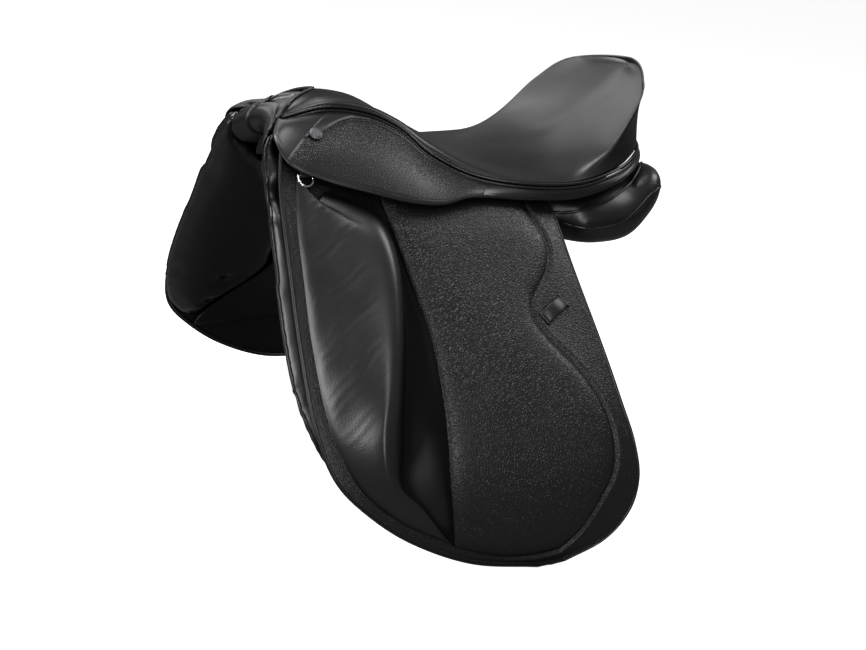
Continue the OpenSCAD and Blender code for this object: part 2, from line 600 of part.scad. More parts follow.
tree_frame();
head_plate();
gullet_plate();
tree_rivets();
seat_webbing();
seat_foam();
seat_cover();
seat_welt();
pommel_facing();
rear_skirt();
gullet_lining();
skirt_root(false);  // skirt_root_left
skirt_root(true);  // skirt_root_right
skirt(false);  // skirt_left
skirt(true);  // skirt_right
saddle_nail(false);  // saddle_nail_left
saddle_nail(true);  // saddle_nail_right
tree_point(false);  // tree_point_left
tree_point(true);  // tree_point_right
stirrup_bar(false);  // stirrup_bar_left
stirrup_bar(true);  // stirrup_bar_right
bar_catch(false);  // bar_catch_left
bar_catch(true);  // bar_catch_right
catch_pin(false);  // catch_pin_left
catch_pin(true);  // catch_pin_right
dee_chape(false);  // dee_chape_left
dee_chape(true);  // dee_chape_right
front_dee(false);  // front_dee_left
front_dee(true);  // front_dee_right
flap_root(false);  // flap_root_left
flap_root(true);  // flap_root_right
flap(false);  // flap_left
flap(true);  // flap_right
flap_pad(false);  // flap_pad_left
flap_pad(true);  // flap_pad_right
thigh_block(false);  // thigh_block_left
thigh_block(true);  // thigh_block_right
flap_keeper(false);  // flap_keeper_left
flap_keeper(true);  // flap_keeper_right
strap_web(false);  // strap_web_left
strap_web(true);  // strap_web_right
strap(false, strap_x[0]);  // front_strap_left
strap(true, strap_x[0]);  // front_strap_right
strap(false, strap_x[1]);  // rear_strap_left
strap(true, strap_x[1]);  // rear_strap_right
strap_pins(false);  // strap_pins_left
strap_pins(true);  // strap_pins_right
sweat_flap(false);  // sweat_flap_left
sweat_flap(true);  // sweat_flap_right
panel(false);  // panel_left
panel(true);  // panel_right
fore_panel(false);  // fore_panel_left
fore_panel(true);  // fore_panel_right
panel_tufts(false);  // panel_tufts_left
panel_tufts(true);  // panel_tufts_right
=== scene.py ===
"""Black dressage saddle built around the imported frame.

Shapes are worked out in millimetres in the frame's own axes (X forward to the pommel, Y to
the horse's left, Z up) and turned into metres when a mesh is made. Everything on the right
is the mirror image of the left.
"""
import math

import bmesh
import bpy
import numpy as np
from mathutils import Matrix, Vector
from mathutils.bvhtree import BVHTree


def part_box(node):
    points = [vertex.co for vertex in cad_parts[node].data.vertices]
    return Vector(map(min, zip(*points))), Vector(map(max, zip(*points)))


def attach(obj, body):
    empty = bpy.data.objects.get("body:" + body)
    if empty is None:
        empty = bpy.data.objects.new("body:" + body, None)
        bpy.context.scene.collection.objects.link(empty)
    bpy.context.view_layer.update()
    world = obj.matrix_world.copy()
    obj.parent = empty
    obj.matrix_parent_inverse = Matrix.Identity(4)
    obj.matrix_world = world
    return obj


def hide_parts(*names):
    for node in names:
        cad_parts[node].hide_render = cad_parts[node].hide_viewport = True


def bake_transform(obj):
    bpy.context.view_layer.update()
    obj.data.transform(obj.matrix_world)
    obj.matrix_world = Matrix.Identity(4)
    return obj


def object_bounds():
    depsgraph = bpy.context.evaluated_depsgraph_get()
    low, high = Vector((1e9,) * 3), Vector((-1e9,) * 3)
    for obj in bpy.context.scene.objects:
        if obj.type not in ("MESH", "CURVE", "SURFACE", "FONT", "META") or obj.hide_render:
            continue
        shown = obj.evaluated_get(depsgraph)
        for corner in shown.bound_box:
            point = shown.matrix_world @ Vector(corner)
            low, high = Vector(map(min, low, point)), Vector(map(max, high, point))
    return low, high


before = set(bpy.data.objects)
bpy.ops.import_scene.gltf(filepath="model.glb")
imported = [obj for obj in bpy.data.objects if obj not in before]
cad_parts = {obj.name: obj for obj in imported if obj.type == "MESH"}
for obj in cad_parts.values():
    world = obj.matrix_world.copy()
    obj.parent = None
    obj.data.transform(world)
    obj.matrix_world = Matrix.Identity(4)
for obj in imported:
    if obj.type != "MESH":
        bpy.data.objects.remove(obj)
cad_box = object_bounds()
MM = 0.001


# ---- sizes read from the frame ----

def high(node, axis):
    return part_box(node)[1][axis] / MM


def low(node, axis):
    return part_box(node)[0][axis] / MM


# The guide stations below suit a seat and flap of these sizes, and are scaled to the frame.
NOMINAL_SEAT = (473.5, 125.8, 154.5)
NOMINAL_DROP = 331.1
KX = (high("seat_cover", 0) - low("seat_cover", 0)) / NOMINAL_SEAT[0]
KY = high("seat_cover", 1) / NOMINAL_SEAT[1]
KZ = high("seat_cover", 2) / NOMINAL_SEAT[2]
KF = -low("flap_left", 2) / NOMINAL_DROP
SEAT_K = np.array([KX, KY, KZ])


# ---- curves ----

def ease(t):
    t = np.clip(t, 0, 1)
    return t * t * (3 - 2 * t)


def bell(x, middle, reach):
    """One at the middle, and falling away on both sides."""
    return np.exp(-((x - middle) / reach) ** 2)


def mix(a, b, t):
    return a + (b - a) * t


def unit(v):
    return v / np.maximum(np.linalg.norm(v, axis=-1, keepdims=True), 1e-9)


FLIP = np.array([1, -1, 1])


def both_halves(left):
    """Rows from the left side to the centre plane, and on down the right side."""
    return np.concatenate([left, (left * FLIP)[-2::-1]])


def grid(rows, cols, u=(0, 1), v=(0, 1)):
    """Two even grids: u runs down the rows and v along the columns."""
    return np.meshgrid(np.linspace(*u, rows), np.linspace(*v, cols), indexing="ij")


def squared(wave, power):
    """A sine or cosine pushed outward, so that the round it draws has fuller corners."""
    return np.sign(wave) * np.abs(wave) ** power


def on(points, u, closing=False):
    """Points at u, from 0 to 1, on a smooth curve through the given points.

    The curve leaves its last point square to the centre plane when closing is true."""
    p = np.asarray(points, float)
    n = len(p) - 1
    last = p[n - 1] * FLIP if closing else 2 * p[n] - p[n - 1]
    e = np.vstack([2 * p[0] - p[1], p, last])
    u = np.asarray(u, float)
    s = np.clip(np.floor(u * n).astype(int), 0, n - 1)
    t = (u * n - s)[..., None]
    a, b, c, d = e[s], e[s + 1], e[s + 2], e[s + 3]
    return 0.5 * (2 * b + (c - a) * t + (2 * a - 5 * b + 4 * c - d) * t ** 2
                  + (3 * b - a - 3 * c + d) * t ** 3)


def even(path, n, closed=False):
    """The path resampled to n evenly spaced points."""
    p = np.asarray(path, float)
    if closed:
        p = np.vstack([p, p[:1]])
    run = np.concatenate([[0], np.cumsum(np.linalg.norm(np.diff(p, axis=0), axis=1))])
    at = np.linspace(0, run[-1], n, endpoint=not closed)
    return np.stack([np.interp(at, run, p[:, k]) for k in range(p.shape[1])], 1)


def length(path):
    return float(np.linalg.norm(np.diff(path, axis=0), axis=1).sum())


def distance(q, path):
    """Distance of every 2-D point q from a polyline."""
    flat = q.reshape(-1, 2)
    best = np.full(len(flat), 1e9)
    for a, b in zip(path[:-1], path[1:]):
        d = b - a
        t = np.clip(((flat - a) @ d) / max(d @ d, 1e-9), 0, 1)
        best = np.minimum(best, np.linalg.norm(flat - a - t[:, None] * d, axis=1))
    return best.reshape(q.shape[:-1])


# ---- the saddle's surfaces ----

SEAT_MID = np.array([
    (162, 0, 124), (128, 0, 116), (88, 0, 100), (50, 0, 83), (14, 0, 67), (-30, 0, 57),
    (-80, 0, 58), (-130, 0, 71), (-175, 0, 94), (-212, 0, 119), (-238, 0, 142), (-250, 0, 151.5)
]) * SEAT_K
SEAT_RIM = np.array([
    (212, 23, 103), (164, 28, 117), (118, 30, 113), (80, 37, 98), (46, 47, 77), (6, 60, 58),
    (-44, 74, 46), (-96, 97, 47), (-148, 117, 68), (-189, 109, 112), (-220, 82, 143),
    (-256, 0, 158.5)
]) * SEAT_K
SEAT_EDGE = np.array([
    (218, 28, 100), (169, 34, 113), (120, 39, 109), (82, 50, 94), (48, 68, 67), (6, 94, 49),
    (-50, 117, 43), (-112, 126, 44), (-164, 120, 55), (-203, 99, 66), (-234, 60, 72),
    (-252, 0, 72)
]) * SEAT_K
SKIRT_EDGE = np.array([
    (224, 38, 98), (237, 68, 87), (228, 95, 65), (190, 108, 50), (145, 119, 39), (100, 127, 29),
    (62, 130, 26), (28, 126, 31), (-8, 122, 28), (-50, 125, 25), (-112, 130, 26), (-166, 130, 42),
    (-206, 108, 57), (-238, 62, 65), (-256, 0, 66)
]) * SEAT_K
SKIRT_FROM = (0, 0.055, 0.11, 0.17, 0.24, 0.31, 0.38, 0.45, 0.5, 0.55, 0.64, 0.73, 0.82, 0.91, 1)
RIM_V = 0.72
WELT_R = 2.2
SKIRT_T = 3.6
SKIRT_N = unit(np.array([0.2, 0.72, 0.66]))
BELLY_END = 7.3 / 14


def seat_at(u, v):
    """Left half of the seat: v is 0 on the centre line, RIM_V on the rim and 1 at the welt."""
    s, r, w = on(SEAT_MID, u), on(SEAT_RIM, u, True), on(SEAT_EDGE, u, True)
    t = np.clip(v / RIM_V, 0, 1)
    q = np.clip((v - RIM_V) / (1 - RIM_V), 0, 1) * math.pi / 2
    dish = np.stack([mix(s[..., 0], r[..., 0], t), r[..., 1] * t,
                     mix(s[..., 2], r[..., 2], t * t)], -1)
    side = np.stack([mix(r[..., 0], w[..., 0], 1 - np.cos(q)),
                     mix(r[..., 1], w[..., 1], np.sin(q)),
                     mix(r[..., 2], w[..., 2], 1 - np.cos(q))], -1)
    return np.where((v < RIM_V)[..., None], dish, side)


def skirt_root(u):
    """Where the skirt leaves the seat's edge, under the two cords of the welt."""
    start = np.interp(u, np.linspace(0, 1, len(SKIRT_FROM)), SKIRT_FROM)
    return on(SEAT_EDGE, start, True) + [0, 1.6, -2 * WELT_R - 2.4]


def skirt_at(u, v, h=0.0):
    """Point on the skirt: u runs round the seat, v from the welt out to the free edge."""
    u, v, h = np.broadcast_arrays(np.asarray(u, float), v, h)
    swell = 6 * ease((0.6 - u) / 0.3) + 1.2
    flat = mix(skirt_root(u), on(SKIRT_EDGE, u, True), v[..., None])
    return flat + SKIRT_N * (swell * np.sin(math.pi * v) + h)[..., None]


FLAP_REF, BEND_Z, BEND_R, FRONT_X = 285.0, -224.0, 50.0, 240.0
FLAP_SLOPE = 0.697
FLAP_T = 4.0


def flap_y(x, z):
    t = z - BEND_Z
    toe = 0.14 * ease((40 - z) / 240) - 0.03 * ease((z + 20) / 60)
    return FLAP_REF - FLAP_SLOPE / 2 * (t + np.sqrt(t * t + BEND_R ** 2)) + toe * (FRONT_X - x)


def flap_n(x, z):
    x, z = np.broadcast_arrays(np.asarray(x, float), z)
    return unit(np.stack([flap_y(x - 1, z) - flap_y(x + 1, z), np.full(x.shape, 2.0),
                          flap_y(x, z - 1) - flap_y(x, z + 1)], -1))


def flap_p(x, z, h=0.0):
    """A point on the flap's outer face, raised by h along its normal."""
    x, z, h = np.broadcast_arrays(np.asarray(x, float), z, h)
    return np.stack([x, flap_y(x, z), z], -1) + h[..., None] * flap_n(x, z)


def flap_at(q, h=0.0):
    """The same for side-view places given as (x, z) pairs."""
    return flap_p(q[..., 0], q[..., 1], h)


DROP = np.array([1, KF])
FLAP_FRONT = np.array([
    (228, 88), (240, 40), (245, -30), (248, -100), (246, -165), (232, -216), (199, -254),
    (148, -291), (80, -320), (5, -331)
]) * DROP
FLAP_REAR = np.array([
    (-88, 52), (-88, 12), (-91, -40), (-96, -100), (-101, -160), (-107, -200), (-109, -238),
    (-99, -275), (-72, -306), (-25, -328)
]) * DROP
FLAP_FOLD = (flap_p(240, 25, 1), flap_p(-95, 14, 1))
SKIRT_FOLD = (skirt_at(2.3 / 14, 0.66, 3), skirt_at(7.2 / 14, 0.42, 3))


# ---- mesh makers ----

WELD = 0.02


def new_object(name, data):
    obj = bpy.data.objects.new(name, data)
    bpy.context.scene.collection.objects.link(obj)
    return obj


def new_mesh(name, points, faces):
    """A mesh from points in millimetres."""
    mesh = bpy.data.meshes.new(name)
    mesh.from_pydata((np.asarray(points).reshape(-1, 3) * MM).tolist(), [], faces)
    return mesh


def link(name, mesh, material):
    """Puts a mesh in the scene, with smooth shading."""
    mesh.materials.append(material)
    mesh.shade_smooth()
    return new_object(name, mesh)


def weld(mesh, finish):
    """Joins the points of a mesh that coincide, and then takes a last step."""
    bm = bmesh.new()
    bm.from_mesh(mesh)
    bmesh.ops.remove_doubles(bm, verts=bm.verts, dist=WELD * MM)
    finish(bm)
    bm.to_mesh(mesh)
    bm.free()


def turn_outward(bm):
    bmesh.ops.recalc_face_normals(bm, faces=bm.faces)


def drop_slivers(bm):
    bmesh.ops.dissolve_degenerate(bm, edges=bm.edges, dist=WELD / 2 * MM)


def solid(name, points, faces, material, pebble=None, dull=None):
    """A mesh object from millimetre points, welded, with its faces turned outward.

    Pebble is how much of the leather's grain shows at each point, and the last look is how much
    painted shade dims its shine."""
    mesh = new_mesh(name, points, faces)
    for attribute, values in (("pebble", pebble), ("dull", dull)):
        if values is not None:
            mesh.attributes.new(attribute, "FLOAT", "POINT").data.foreach_set(
                "value", np.asarray(values, np.float32))
    weld(mesh, turn_outward)
    return link(name, mesh, material)


def quads(rows, cols, start=0, wrap_rows=False, wrap_cols=False):
    """Faces of a grid of rows x cols points, optionally closed on itself."""
    i = np.arange(rows if wrap_rows else rows - 1)
    j = np.arange(cols if wrap_cols else cols - 1)
    i, j = [k.ravel() for k in np.meshgrid(i, j, indexing="ij")]
    i2, j2 = (i + 1) % rows, (j + 1) % cols
    return (np.stack([i * cols + j, i * cols + j2, i2 * cols + j2, i2 * cols + j], 1)
            + start).tolist()


RIM_TURNS = (0.25, 0.5, 0.75)


def slab(name, top, under, material, pebble=None, dull=None):
    """A closed sheet between two equal grids, its rim rounded from top to underside."""
    rows, cols = top.shape[:2]
    n = rows * cols
    ids = np.arange(n).reshape(rows, cols)
    rim = np.concatenate([ids[0, :-1], ids[:-1, -1], ids[-1, :0:-1], ids[:0:-1, 0]])
    i, j = rim // cols, rim % cols
    inner = np.clip(i, 1, rows - 2) * cols + np.clip(j, 1, cols - 2)
    t, b = top.reshape(-1, 3), under.reshape(-1, 3)
    half = (t[rim] - b[rim]) / 2
    out = t[rim] - t[inner]
    axis = unit(half)
    out = unit(out - (out * axis).sum(1, keepdims=True) * axis)
    radius = np.linalg.norm(half, axis=1, keepdims=True)
    loops = [(t[rim] + b[rim]) / 2 + half * math.cos(math.pi * a) + out * radius
             * math.sin(math.pi * a) for a in RIM_TURNS]
    points = np.vstack([t, b] + loops)
    faces = quads(rows, cols) + [f[::-1] for f in quads(rows, cols, n)]
    m = len(rim)
    chain = [rim] + [2 * n + k * m + np.arange(m) for k in range(len(RIM_TURNS))] + [rim + n]
    for a, c in zip(chain[:-1], chain[1:]):
        a2, c2 = np.roll(a, -1), np.roll(c, -1)
        faces += np.stack([a, c, c2, a2], 1).tolist()
    looks = []
    for look in (pebble, dull):
        if look is not None:
            p = np.broadcast_to(look, (rows, cols)).ravel()
            look = np.concatenate([p, p] + [p[rim]] * len(RIM_TURNS))
        looks.append(look)
    return solid(name, points, faces, material, *looks)


def loft(name, rings, material, loop=False):
    """A solid through a list of closed rings, capped with a centre point at both ends."""
    rings = np.asarray(rings)
    m, n = rings.shape[:2]
    points = rings.reshape(-1, 3)
    faces = quads(m, n, 0, loop, True)
    if not loop:
        points = np.vstack([points, rings[0].mean(0), rings[-1].mean(0)])
        j = np.arange(n)
        j2 = (j + 1) % n
        faces += [(m * n, b, a) for a, b in zip(j, j2)]
        faces += [(m * n + 1, (m - 1) * n + a, (m - 1) * n + b) for a, b in zip(j, j2)]
        faces = [tuple(int(k) for k in f) for f in faces]
    return solid(name, points, faces, material)


def frames_along(path, closed=False):
    """Two unit vectors square to the path at each point, turning as little as possible."""
    if closed:
        tangent = unit(np.roll(path, -1, 0) - np.roll(path, 1, 0))
    else:
        tangent = unit(np.gradient(path, axis=0))
    side = np.cross(tangent[0], [0.1, 0.2, 1.0])
    sides = []
    for t in tangent:
        side = side - (side @ t) * t
        side = side / np.linalg.norm(side)
        sides.append(side)
    sides = np.array(sides)
    return sides, np.cross(tangent, sides)


def cord(name, path, radius, material, sides=10, closed=False):
    """A round cord along a path, with rounded ends."""
    s, u = frames_along(path, closed)
    r = np.broadcast_to(np.asarray(radius, float), (len(path),)).copy()
    a = np.arange(sides) * 2 * math.pi / sides
    if not closed:
        r[0] = r[-1] = 0.35 * r[1]
    ring = (path[:, None] + r[:, None, None]
            * (s[:, None] * np.cos(a)[None, :, None] + u[:, None] * np.sin(a)[None, :, None]))
    return loft(name, ring, material, closed)


def band(name, path, normals, width, thick, material):
    """A flat strap along a path: across it lie square to the path and its normals."""
    tangent = unit(np.gradient(path, axis=0))
    across = unit(np.cross(tangent, normals))
    cols = np.linspace(-0.5, 0.5, 7)
    crown = thick * 0.25 * (1 - (2 * cols) ** 2)
    top = (path[:, None] + across[:, None] * (cols * width)[None, :, None]
           + normals[:, None] * crown[None, :, None])
    under = top - normals[:, None] * thick
    return slab(name, top, under, material)


STITCH_PITCH, STITCH_LENGTH, STITCH_R = 3.6, 2.45, 0.42


def stitches(name, paths):
    """Rows of sewn stitches: short rounded threads spaced evenly along (path, normals)."""
    ring = np.arange(6) * math.pi / 3
    along = np.array([-0.5, -0.42, -0.2, 0.2, 0.42, 0.5])
    fat = np.array([0.15, 0.75, 1.0, 1.0, 0.75, 0.15])
    points, faces = [], []
    for path, normals in paths:
        count = max(2, int(length(path) / STITCH_PITCH))
        both = even(np.hstack([path, normals]), count * 2 + 1)
        for k in range(1, count * 2, 2):
            step = both[k + 1, :3] - both[k - 1, :3]
            d = step / max(np.linalg.norm(step), 1e-9)
            n = unit(both[k, 3:])
            s = np.cross(d, n)
            centre = both[k, :3]
            start = len(points) * 36
            rows = (centre + d * (along * STITCH_LENGTH)[:, None, None]
                    + STITCH_R * fat[:, None, None] * (s * np.cos(ring)[None, :, None] * 1.2
                                                     + n * np.sin(ring)[None, :, None]))
            points.append(rows)
            faces += quads(6, 6, start, False, True)
            faces += [[start + j for j in range(5, -1, -1)], [start + 30 + j for j in range(6)]]
    return link(name, new_mesh(name, points, faces), THREAD)


def mirrored(obj):
    """The right-hand twin of a left-hand piece."""
    name = obj.name.replace("left", "right")
    mesh = obj.data.copy()
    mesh.name = name
    mesh.transform(Matrix.Diagonal((1, -1, 1, 1)))
    mesh.flip_normals()
    return new_object(name, mesh)


# ---- materials ----

def nodes_of(name):
    """A new material, its node tree and its surface shader."""
    mat = bpy.data.materials.new(name)
    mat.use_nodes = True
    tree = mat.node_tree
    return mat, tree, tree.nodes["Principled BSDF"]


def feed(tree, node, key, value):
    """Gives a node's input a value, or links another node's output to it."""
    if isinstance(value, bpy.types.NodeSocket):
        tree.links.new(value, node.inputs[key])
    else:
        node.inputs[key].default_value = value


def add(tree, kind, *inputs, **named):
    """A new shader node, with settings and inputs by name, and inputs in their order."""
    node = tree.nodes.new("ShaderNode" + kind)
    for key, value in named.items():
        if key in node.inputs:
            feed(tree, node, key, value)
        else:
            setattr(node, key, value)
    for k, value in enumerate(inputs):
        feed(tree, node, k, value)
    return node


def plus(tree, a, b):
    return add(tree, "Math", a, b, operation="ADD").outputs[0]


def times(tree, a, b):
    return add(tree, "Math", a, b, operation="MULTIPLY").outputs[0]


def less(tree, a, b):
    return add(tree, "Math", a, b, operation="SUBTRACT").outputs[0]


def place_in(tree):
    return add(tree, "TexCoord").outputs["Object"]


def noise(tree, place, scale, detail=3.0):
    return add(tree, "TexNoise", place, Scale=scale, Detail=detail,
               Roughness=0.55).outputs["Fac"]


def remap(tree, value, low, high, kind="LINEAR", to=(0.0, 1.0)):
    """The value with low to high stretched onto another range."""
    return add(tree, "MapRange", value, low, high, *to,
               interpolation_type=kind).outputs["Result"]


def blend_colours(tree, factor, first, second):
    """A colour that goes from the first to the second with the factor."""
    ends = [(*c, 1) if isinstance(c, tuple) else c for c in (first, second)]
    return add(tree, "MixRGB", factor, *ends).outputs[0]


def shade(colour, share):
    return tuple(c * share for c in colour)


def raise_by(tree, shader, height, strength, distance):
    bump = add(tree, "Bump", Strength=strength, Distance=distance, Height=height)
    feed(tree, shader, "Normal", bump.outputs["Normal"])


# Distance in metres within which a recess counts as closed off for the painted shade on the
# leather's shine, and depth of the grain.
PAINTED_SHADE_REACH = 0.045
GRAIN_DEPTH = 0.00032
PEBBLE_CELL = 0.0027


def leather(name, colour, rough, pebble_depth=0.0, pore_depth=0.12, gloss=0.55):
    """Dyed leather: fine pores, broad wear, and a pebbled grain where the mesh asks for it.

    Painted shade dims its shine: ambient occlusion dims it in creases and hollows, and the mesh
    dims it further where it asks for it."""
    mat, tree, shader = nodes_of(name)
    place = place_in(tree)
    warp = add(tree, "TexNoise", place, Scale=260.0, Detail=2.0)
    shift = add(tree, "VectorMath", warp.outputs["Color"], operation="SCALE",
                Scale=0.0011)
    moved = add(tree, "VectorMath", place, shift.outputs[0], operation="ADD")
    cells = add(tree, "TexVoronoi", feature="DISTANCE_TO_EDGE",
                Vector=moved.outputs[0], Scale=1 / PEBBLE_CELL)
    dome = remap(tree, cells.outputs["Distance"], 0.0, 0.5, "SMOOTHERSTEP")
    grain = add(tree, "Attribute", attribute_name="pebble")
    pebbles = times(tree, dome, grain.outputs["Fac"])
    pores = times(tree, noise(tree, place, 1500.0, 2.0), pore_depth)
    waves = times(tree, noise(tree, place, 55.0), 0.25)
    height = plus(tree, times(tree, pebbles, pebble_depth), pores)
    raise_by(tree, shader, plus(tree, height, waves), 1.0, GRAIN_DEPTH)
    stain = noise(tree, place, 9.0, 4.0)
    tint = blend_colours(tree, stain, shade(colour, 0.75), shade(colour, 1.25))
    edges = add(tree, "NewGeometry").outputs["Pointiness"]
    rubbed = tuple(c * 1.9 + 0.003 for c in colour)
    worn = blend_colours(tree, remap(tree, edges, 0.53, 0.62), tint, rubbed)
    feed(tree, shader, "Base Color", worn)
    blotch = times(tree, noise(tree, place, 22.0, 4.0), 0.16)
    valley = times(tree, pebbles, -0.06 if pebble_depth else 0.0)
    broad = plus(tree, blotch, rough - 0.08)
    feed(tree, shader, "Roughness", plus(tree, broad, valley))
    # painted shade: ambient occlusion turns the shine down in creases, hollows and under overhangs
    painted_shade_ao = add(tree, "AmbientOcclusion", Distance=PAINTED_SHADE_REACH, samples=6)
    shaded_gloss = remap(tree, painted_shade_ao.outputs["AO"], 0.2, 0.92, "SMOOTHSTEP", (0.02, gloss))
    # painted shade from the mesh's attribute dims the shine further
    shade_attribute = add(tree, "Attribute", attribute_name="dull")
    unshaded = less(tree, 1.0, shade_attribute.outputs["Fac"])
    feed(tree, shader, "Specular IOR Level", times(tree, shaded_gloss, unshaded))
    return mat


def metal(name, colour, rough, scratch):
    """Metal with fine marks that vary its polish."""
    mat, tree, shader = nodes_of(name)
    place = place_in(tree)
    feed(tree, shader, "Base Color", (*colour, 1))
    feed(tree, shader, "Metallic", 1.0)
    marks = times(tree, noise(tree, place, 900.0, 4.0), scratch)
    feed(tree, shader, "Roughness", plus(tree, marks, rough))
    raise_by(tree, shader, noise(tree, place, 2200.0), 0.3, 0.00005)
    return mat


def woven(name, colour, pitch_mm):
    """Plain weave: two bands of threads that cross."""
    mat, tree, shader = nodes_of(name)
    place = place_in(tree)
    threads = [add(tree, "TexWave", place, wave_type="BANDS", bands_direction=axis,
                   Scale=1000.0 / pitch_mm / 3.2, Distortion=0.6).outputs["Fac"]
               for axis in ("X", "Z")]
    weave = times(tree, *threads)
    feed(tree, shader, "Base Color", blend_colours(tree, weave, shade(colour, 0.6), colour))
    raise_by(tree, shader, weave, 0.7, 0.0003)
    feed(tree, shader, "Roughness", 0.85)
    return mat


def grained(name, colour, rough, stretch):
    """Laminated wood with its grain along X."""
    mat, tree, shader = nodes_of(name)
    squeeze = add(tree, "Mapping", place_in(tree), Scale=(1.0, stretch, stretch))
    lines = noise(tree, squeeze.outputs[0], 30.0, 6.0)
    feed(tree, shader, "Base Color", blend_colours(tree, lines, shade(colour, 0.55), colour))
    feed(tree, shader, "Roughness", rough)
    return mat


BLACK = (0.006, 0.006, 0.0065)
SMOOTH = leather("smooth_leather", BLACK, 0.33, pebble_depth=0.5, gloss=0.65)
PEBBLED = leather("pebbled_leather", BLACK, 0.37, pebble_depth=1.0)
BLOCK = leather("block_leather", BLACK, 0.34, pebble_depth=0.6, pore_depth=0.06, gloss=0.75)
PANEL = leather("panel_leather", BLACK, 0.31, gloss=0.7)
PIPING = leather("piping_leather", (0.007, 0.007, 0.0075), 0.26, pore_depth=0.06)
STRAP = leather("strap_leather", (0.008, 0.0075, 0.007), 0.38)
THREAD = leather("waxed_thread", (0.016, 0.016, 0.017), 0.5, pore_depth=0.3)
CHROME = metal("polished_steel", (0.78, 0.78, 0.8), 0.1, 0.08)
STEEL = metal("forged_steel", (0.5, 0.5, 0.52), 0.3, 0.2)
NAIL = metal("blackened_nail", (0.16, 0.16, 0.17), 0.34, 0.25)
WOOD = grained("varnished_beech", (0.035, 0.024, 0.015), 0.4, 7.0)
WEB = woven("linen_web", (0.45, 0.38, 0.27), 1.6)


# ---- placing pieces on bodies ----

def fold_span(fold, out, reach):
    """Points just above and just below a fold."""
    forward = unit(fold[0] - fold[1])
    down = unit(np.cross(out, forward))
    middle = (fold[0] + fold[1]) / 2
    return middle - down * reach, middle + down * reach


FLAP_BEND = fold_span(FLAP_FOLD, np.array([0, 0.82, 0.57]), 9)
SKIRT_BEND = fold_span(SKIRT_FOLD, np.array([0, 0.72, 0.7]), 7)


def label(stands_for):
    """Hides the nodes that a piece takes the place of."""
    if stands_for:
        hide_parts(*stands_for)


def both(obj, body, slot, stands_for=(), bend=None):
    """Puts a left piece and its right twin on their bodies, or, when a bend is given, only bakes
    their transforms in place.
    """
    for piece, side, sign in ((obj, "left", 1), (mirrored(obj), "right", -1)):
        carrier = body if body == "saddle" else f"{side}_{body}"
        if bend is None:
            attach(piece, carrier)
        else:
            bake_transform(piece)
        label([f"{n}_{side}" for n in stands_for])


def single(obj, stands_for=()):
    """Puts a piece that spans both sides on the saddle."""
    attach(obj, "saddle")
    label(stands_for)


def pipe(name, path, radius, body="saddle", stands_for=(), bend=None, closed=False):
    """A cord of piping on both sides."""
    both(cord(name, path, radius, PIPING, 8, closed), body, "edge_leather", stands_for, bend)


def round_seat(out, down, n):
    """Path along the edge of the seat, from one side of the head round to the other."""
    p = on(SEAT_EDGE, np.linspace(0, 1, n), True)
    d = np.gradient(p, axis=0)
    d[-1] = [0, -1, 0]
    side = unit(np.cross(unit(d), [0, 0, 1.0]))
    return both_halves(p + side * out - [0, 0, down])


# ---- seat ----

SOFTENING = 18
SEAT_LEATHER_T = 2.4


def soft_half(u, v):
    """The seat's left half, softened across its columns. Column 0 is on the centre plane."""
    g = seat_at(u, v)
    for _ in range(SOFTENING):
        before = np.concatenate([g[:, 1:2] * FLIP, g[:, :-1]], 1)
        after = np.concatenate([g[:, 1:], g[:, -1:]], 1)
        soft = (before + 2 * g + after) / 4
        soft[:, -1] = g[:, -1]
        g = soft
    g[:, 0, 1] = 0
    return g


def soft_seat(u, v):
    """Left half of the padded seat, with the cantle's rim rolled over and full."""
    g = soft_half(u, v)
    full = bell(v, RIM_V, 0.24) * ease((u - 0.55) / 0.3)
    g[..., 1] += 2.0 * full * ease((1 - u) / 0.12)
    g[..., 2] += 3.5 * full
    return g


def make_seat():
    """Seat leather, tucked in under its own edge."""
    tuck = 7.0
    left = soft_seat(*grid(170, 52))
    welt = left[:, -1]
    d = np.gradient(welt, axis=0)
    d[-1] = [0, -1, 0]
    inward = -unit(np.cross(unit(d), [0, 0, 1.0]))
    under = [welt + inward * tuck * 0.3 - [0, 0, 3.2], welt + inward * tuck - [0, 0, 4.5]]
    left = np.concatenate([left, np.stack(under, 1)], 1)
    left[-1, :, 1] = 0
    whole = both_halves(left)
    mesh = new_mesh("seat_leather", whole, quads(*whole.shape[:2]))
    weld(mesh, drop_slivers)
    seat = link("seat_leather", mesh, SMOOTH)
    thick = seat.modifiers.new("leather", "SOLIDIFY")
    thick.thickness = SEAT_LEATHER_T * MM
    thick.offset = -1
    single(seat, ("seat_cover", "seat_foam"))


def make_welts():
    """Two cords piped along the edge of the seat."""
    single(cord("seat_welt_upper", round_seat(1.6, 2.2, 150), 1.9, PIPING),
           ("seat_welt",))
    single(cord("seat_welt_lower", round_seat(2.6, 6.2, 150), 1.7, PIPING))


def head_edge(n):
    """The cut-back edge of the seat, from the left corner over the top to the right one."""
    left = soft_half(np.zeros((1, n)), np.linspace(0, 1, n)[None])[0, ::-1]
    return even(both_halves(left), 2 * n + 1)


# Section of the facing forward of the seat's edge: share of the way to the lip, then steps
# forward and down from the lip as it curls under the head.
FACING_TO_LIP = ((0.0, 0.0), (0.16, 0.5), (0.32, 3.0), (0.46, 0.4), (0.64, 0.4), (0.8, 3.2),
                 (0.92, 1.5), (1.0, 0.0))
FACING_CURL = ((3.0, -6.0), (2.5, -15.0), (-6.0, -24.0), (-22.0, -27.0), (-46.0, -27.0))
# Middle of the facing's lip, its half width, and how far its ends reach forward and down.
LIP_X, LIP_Z, LIP_HALF, LIP_REACH, LIP_FALL = 223, 99, 46, 13, 17
FACING_T = 2.2


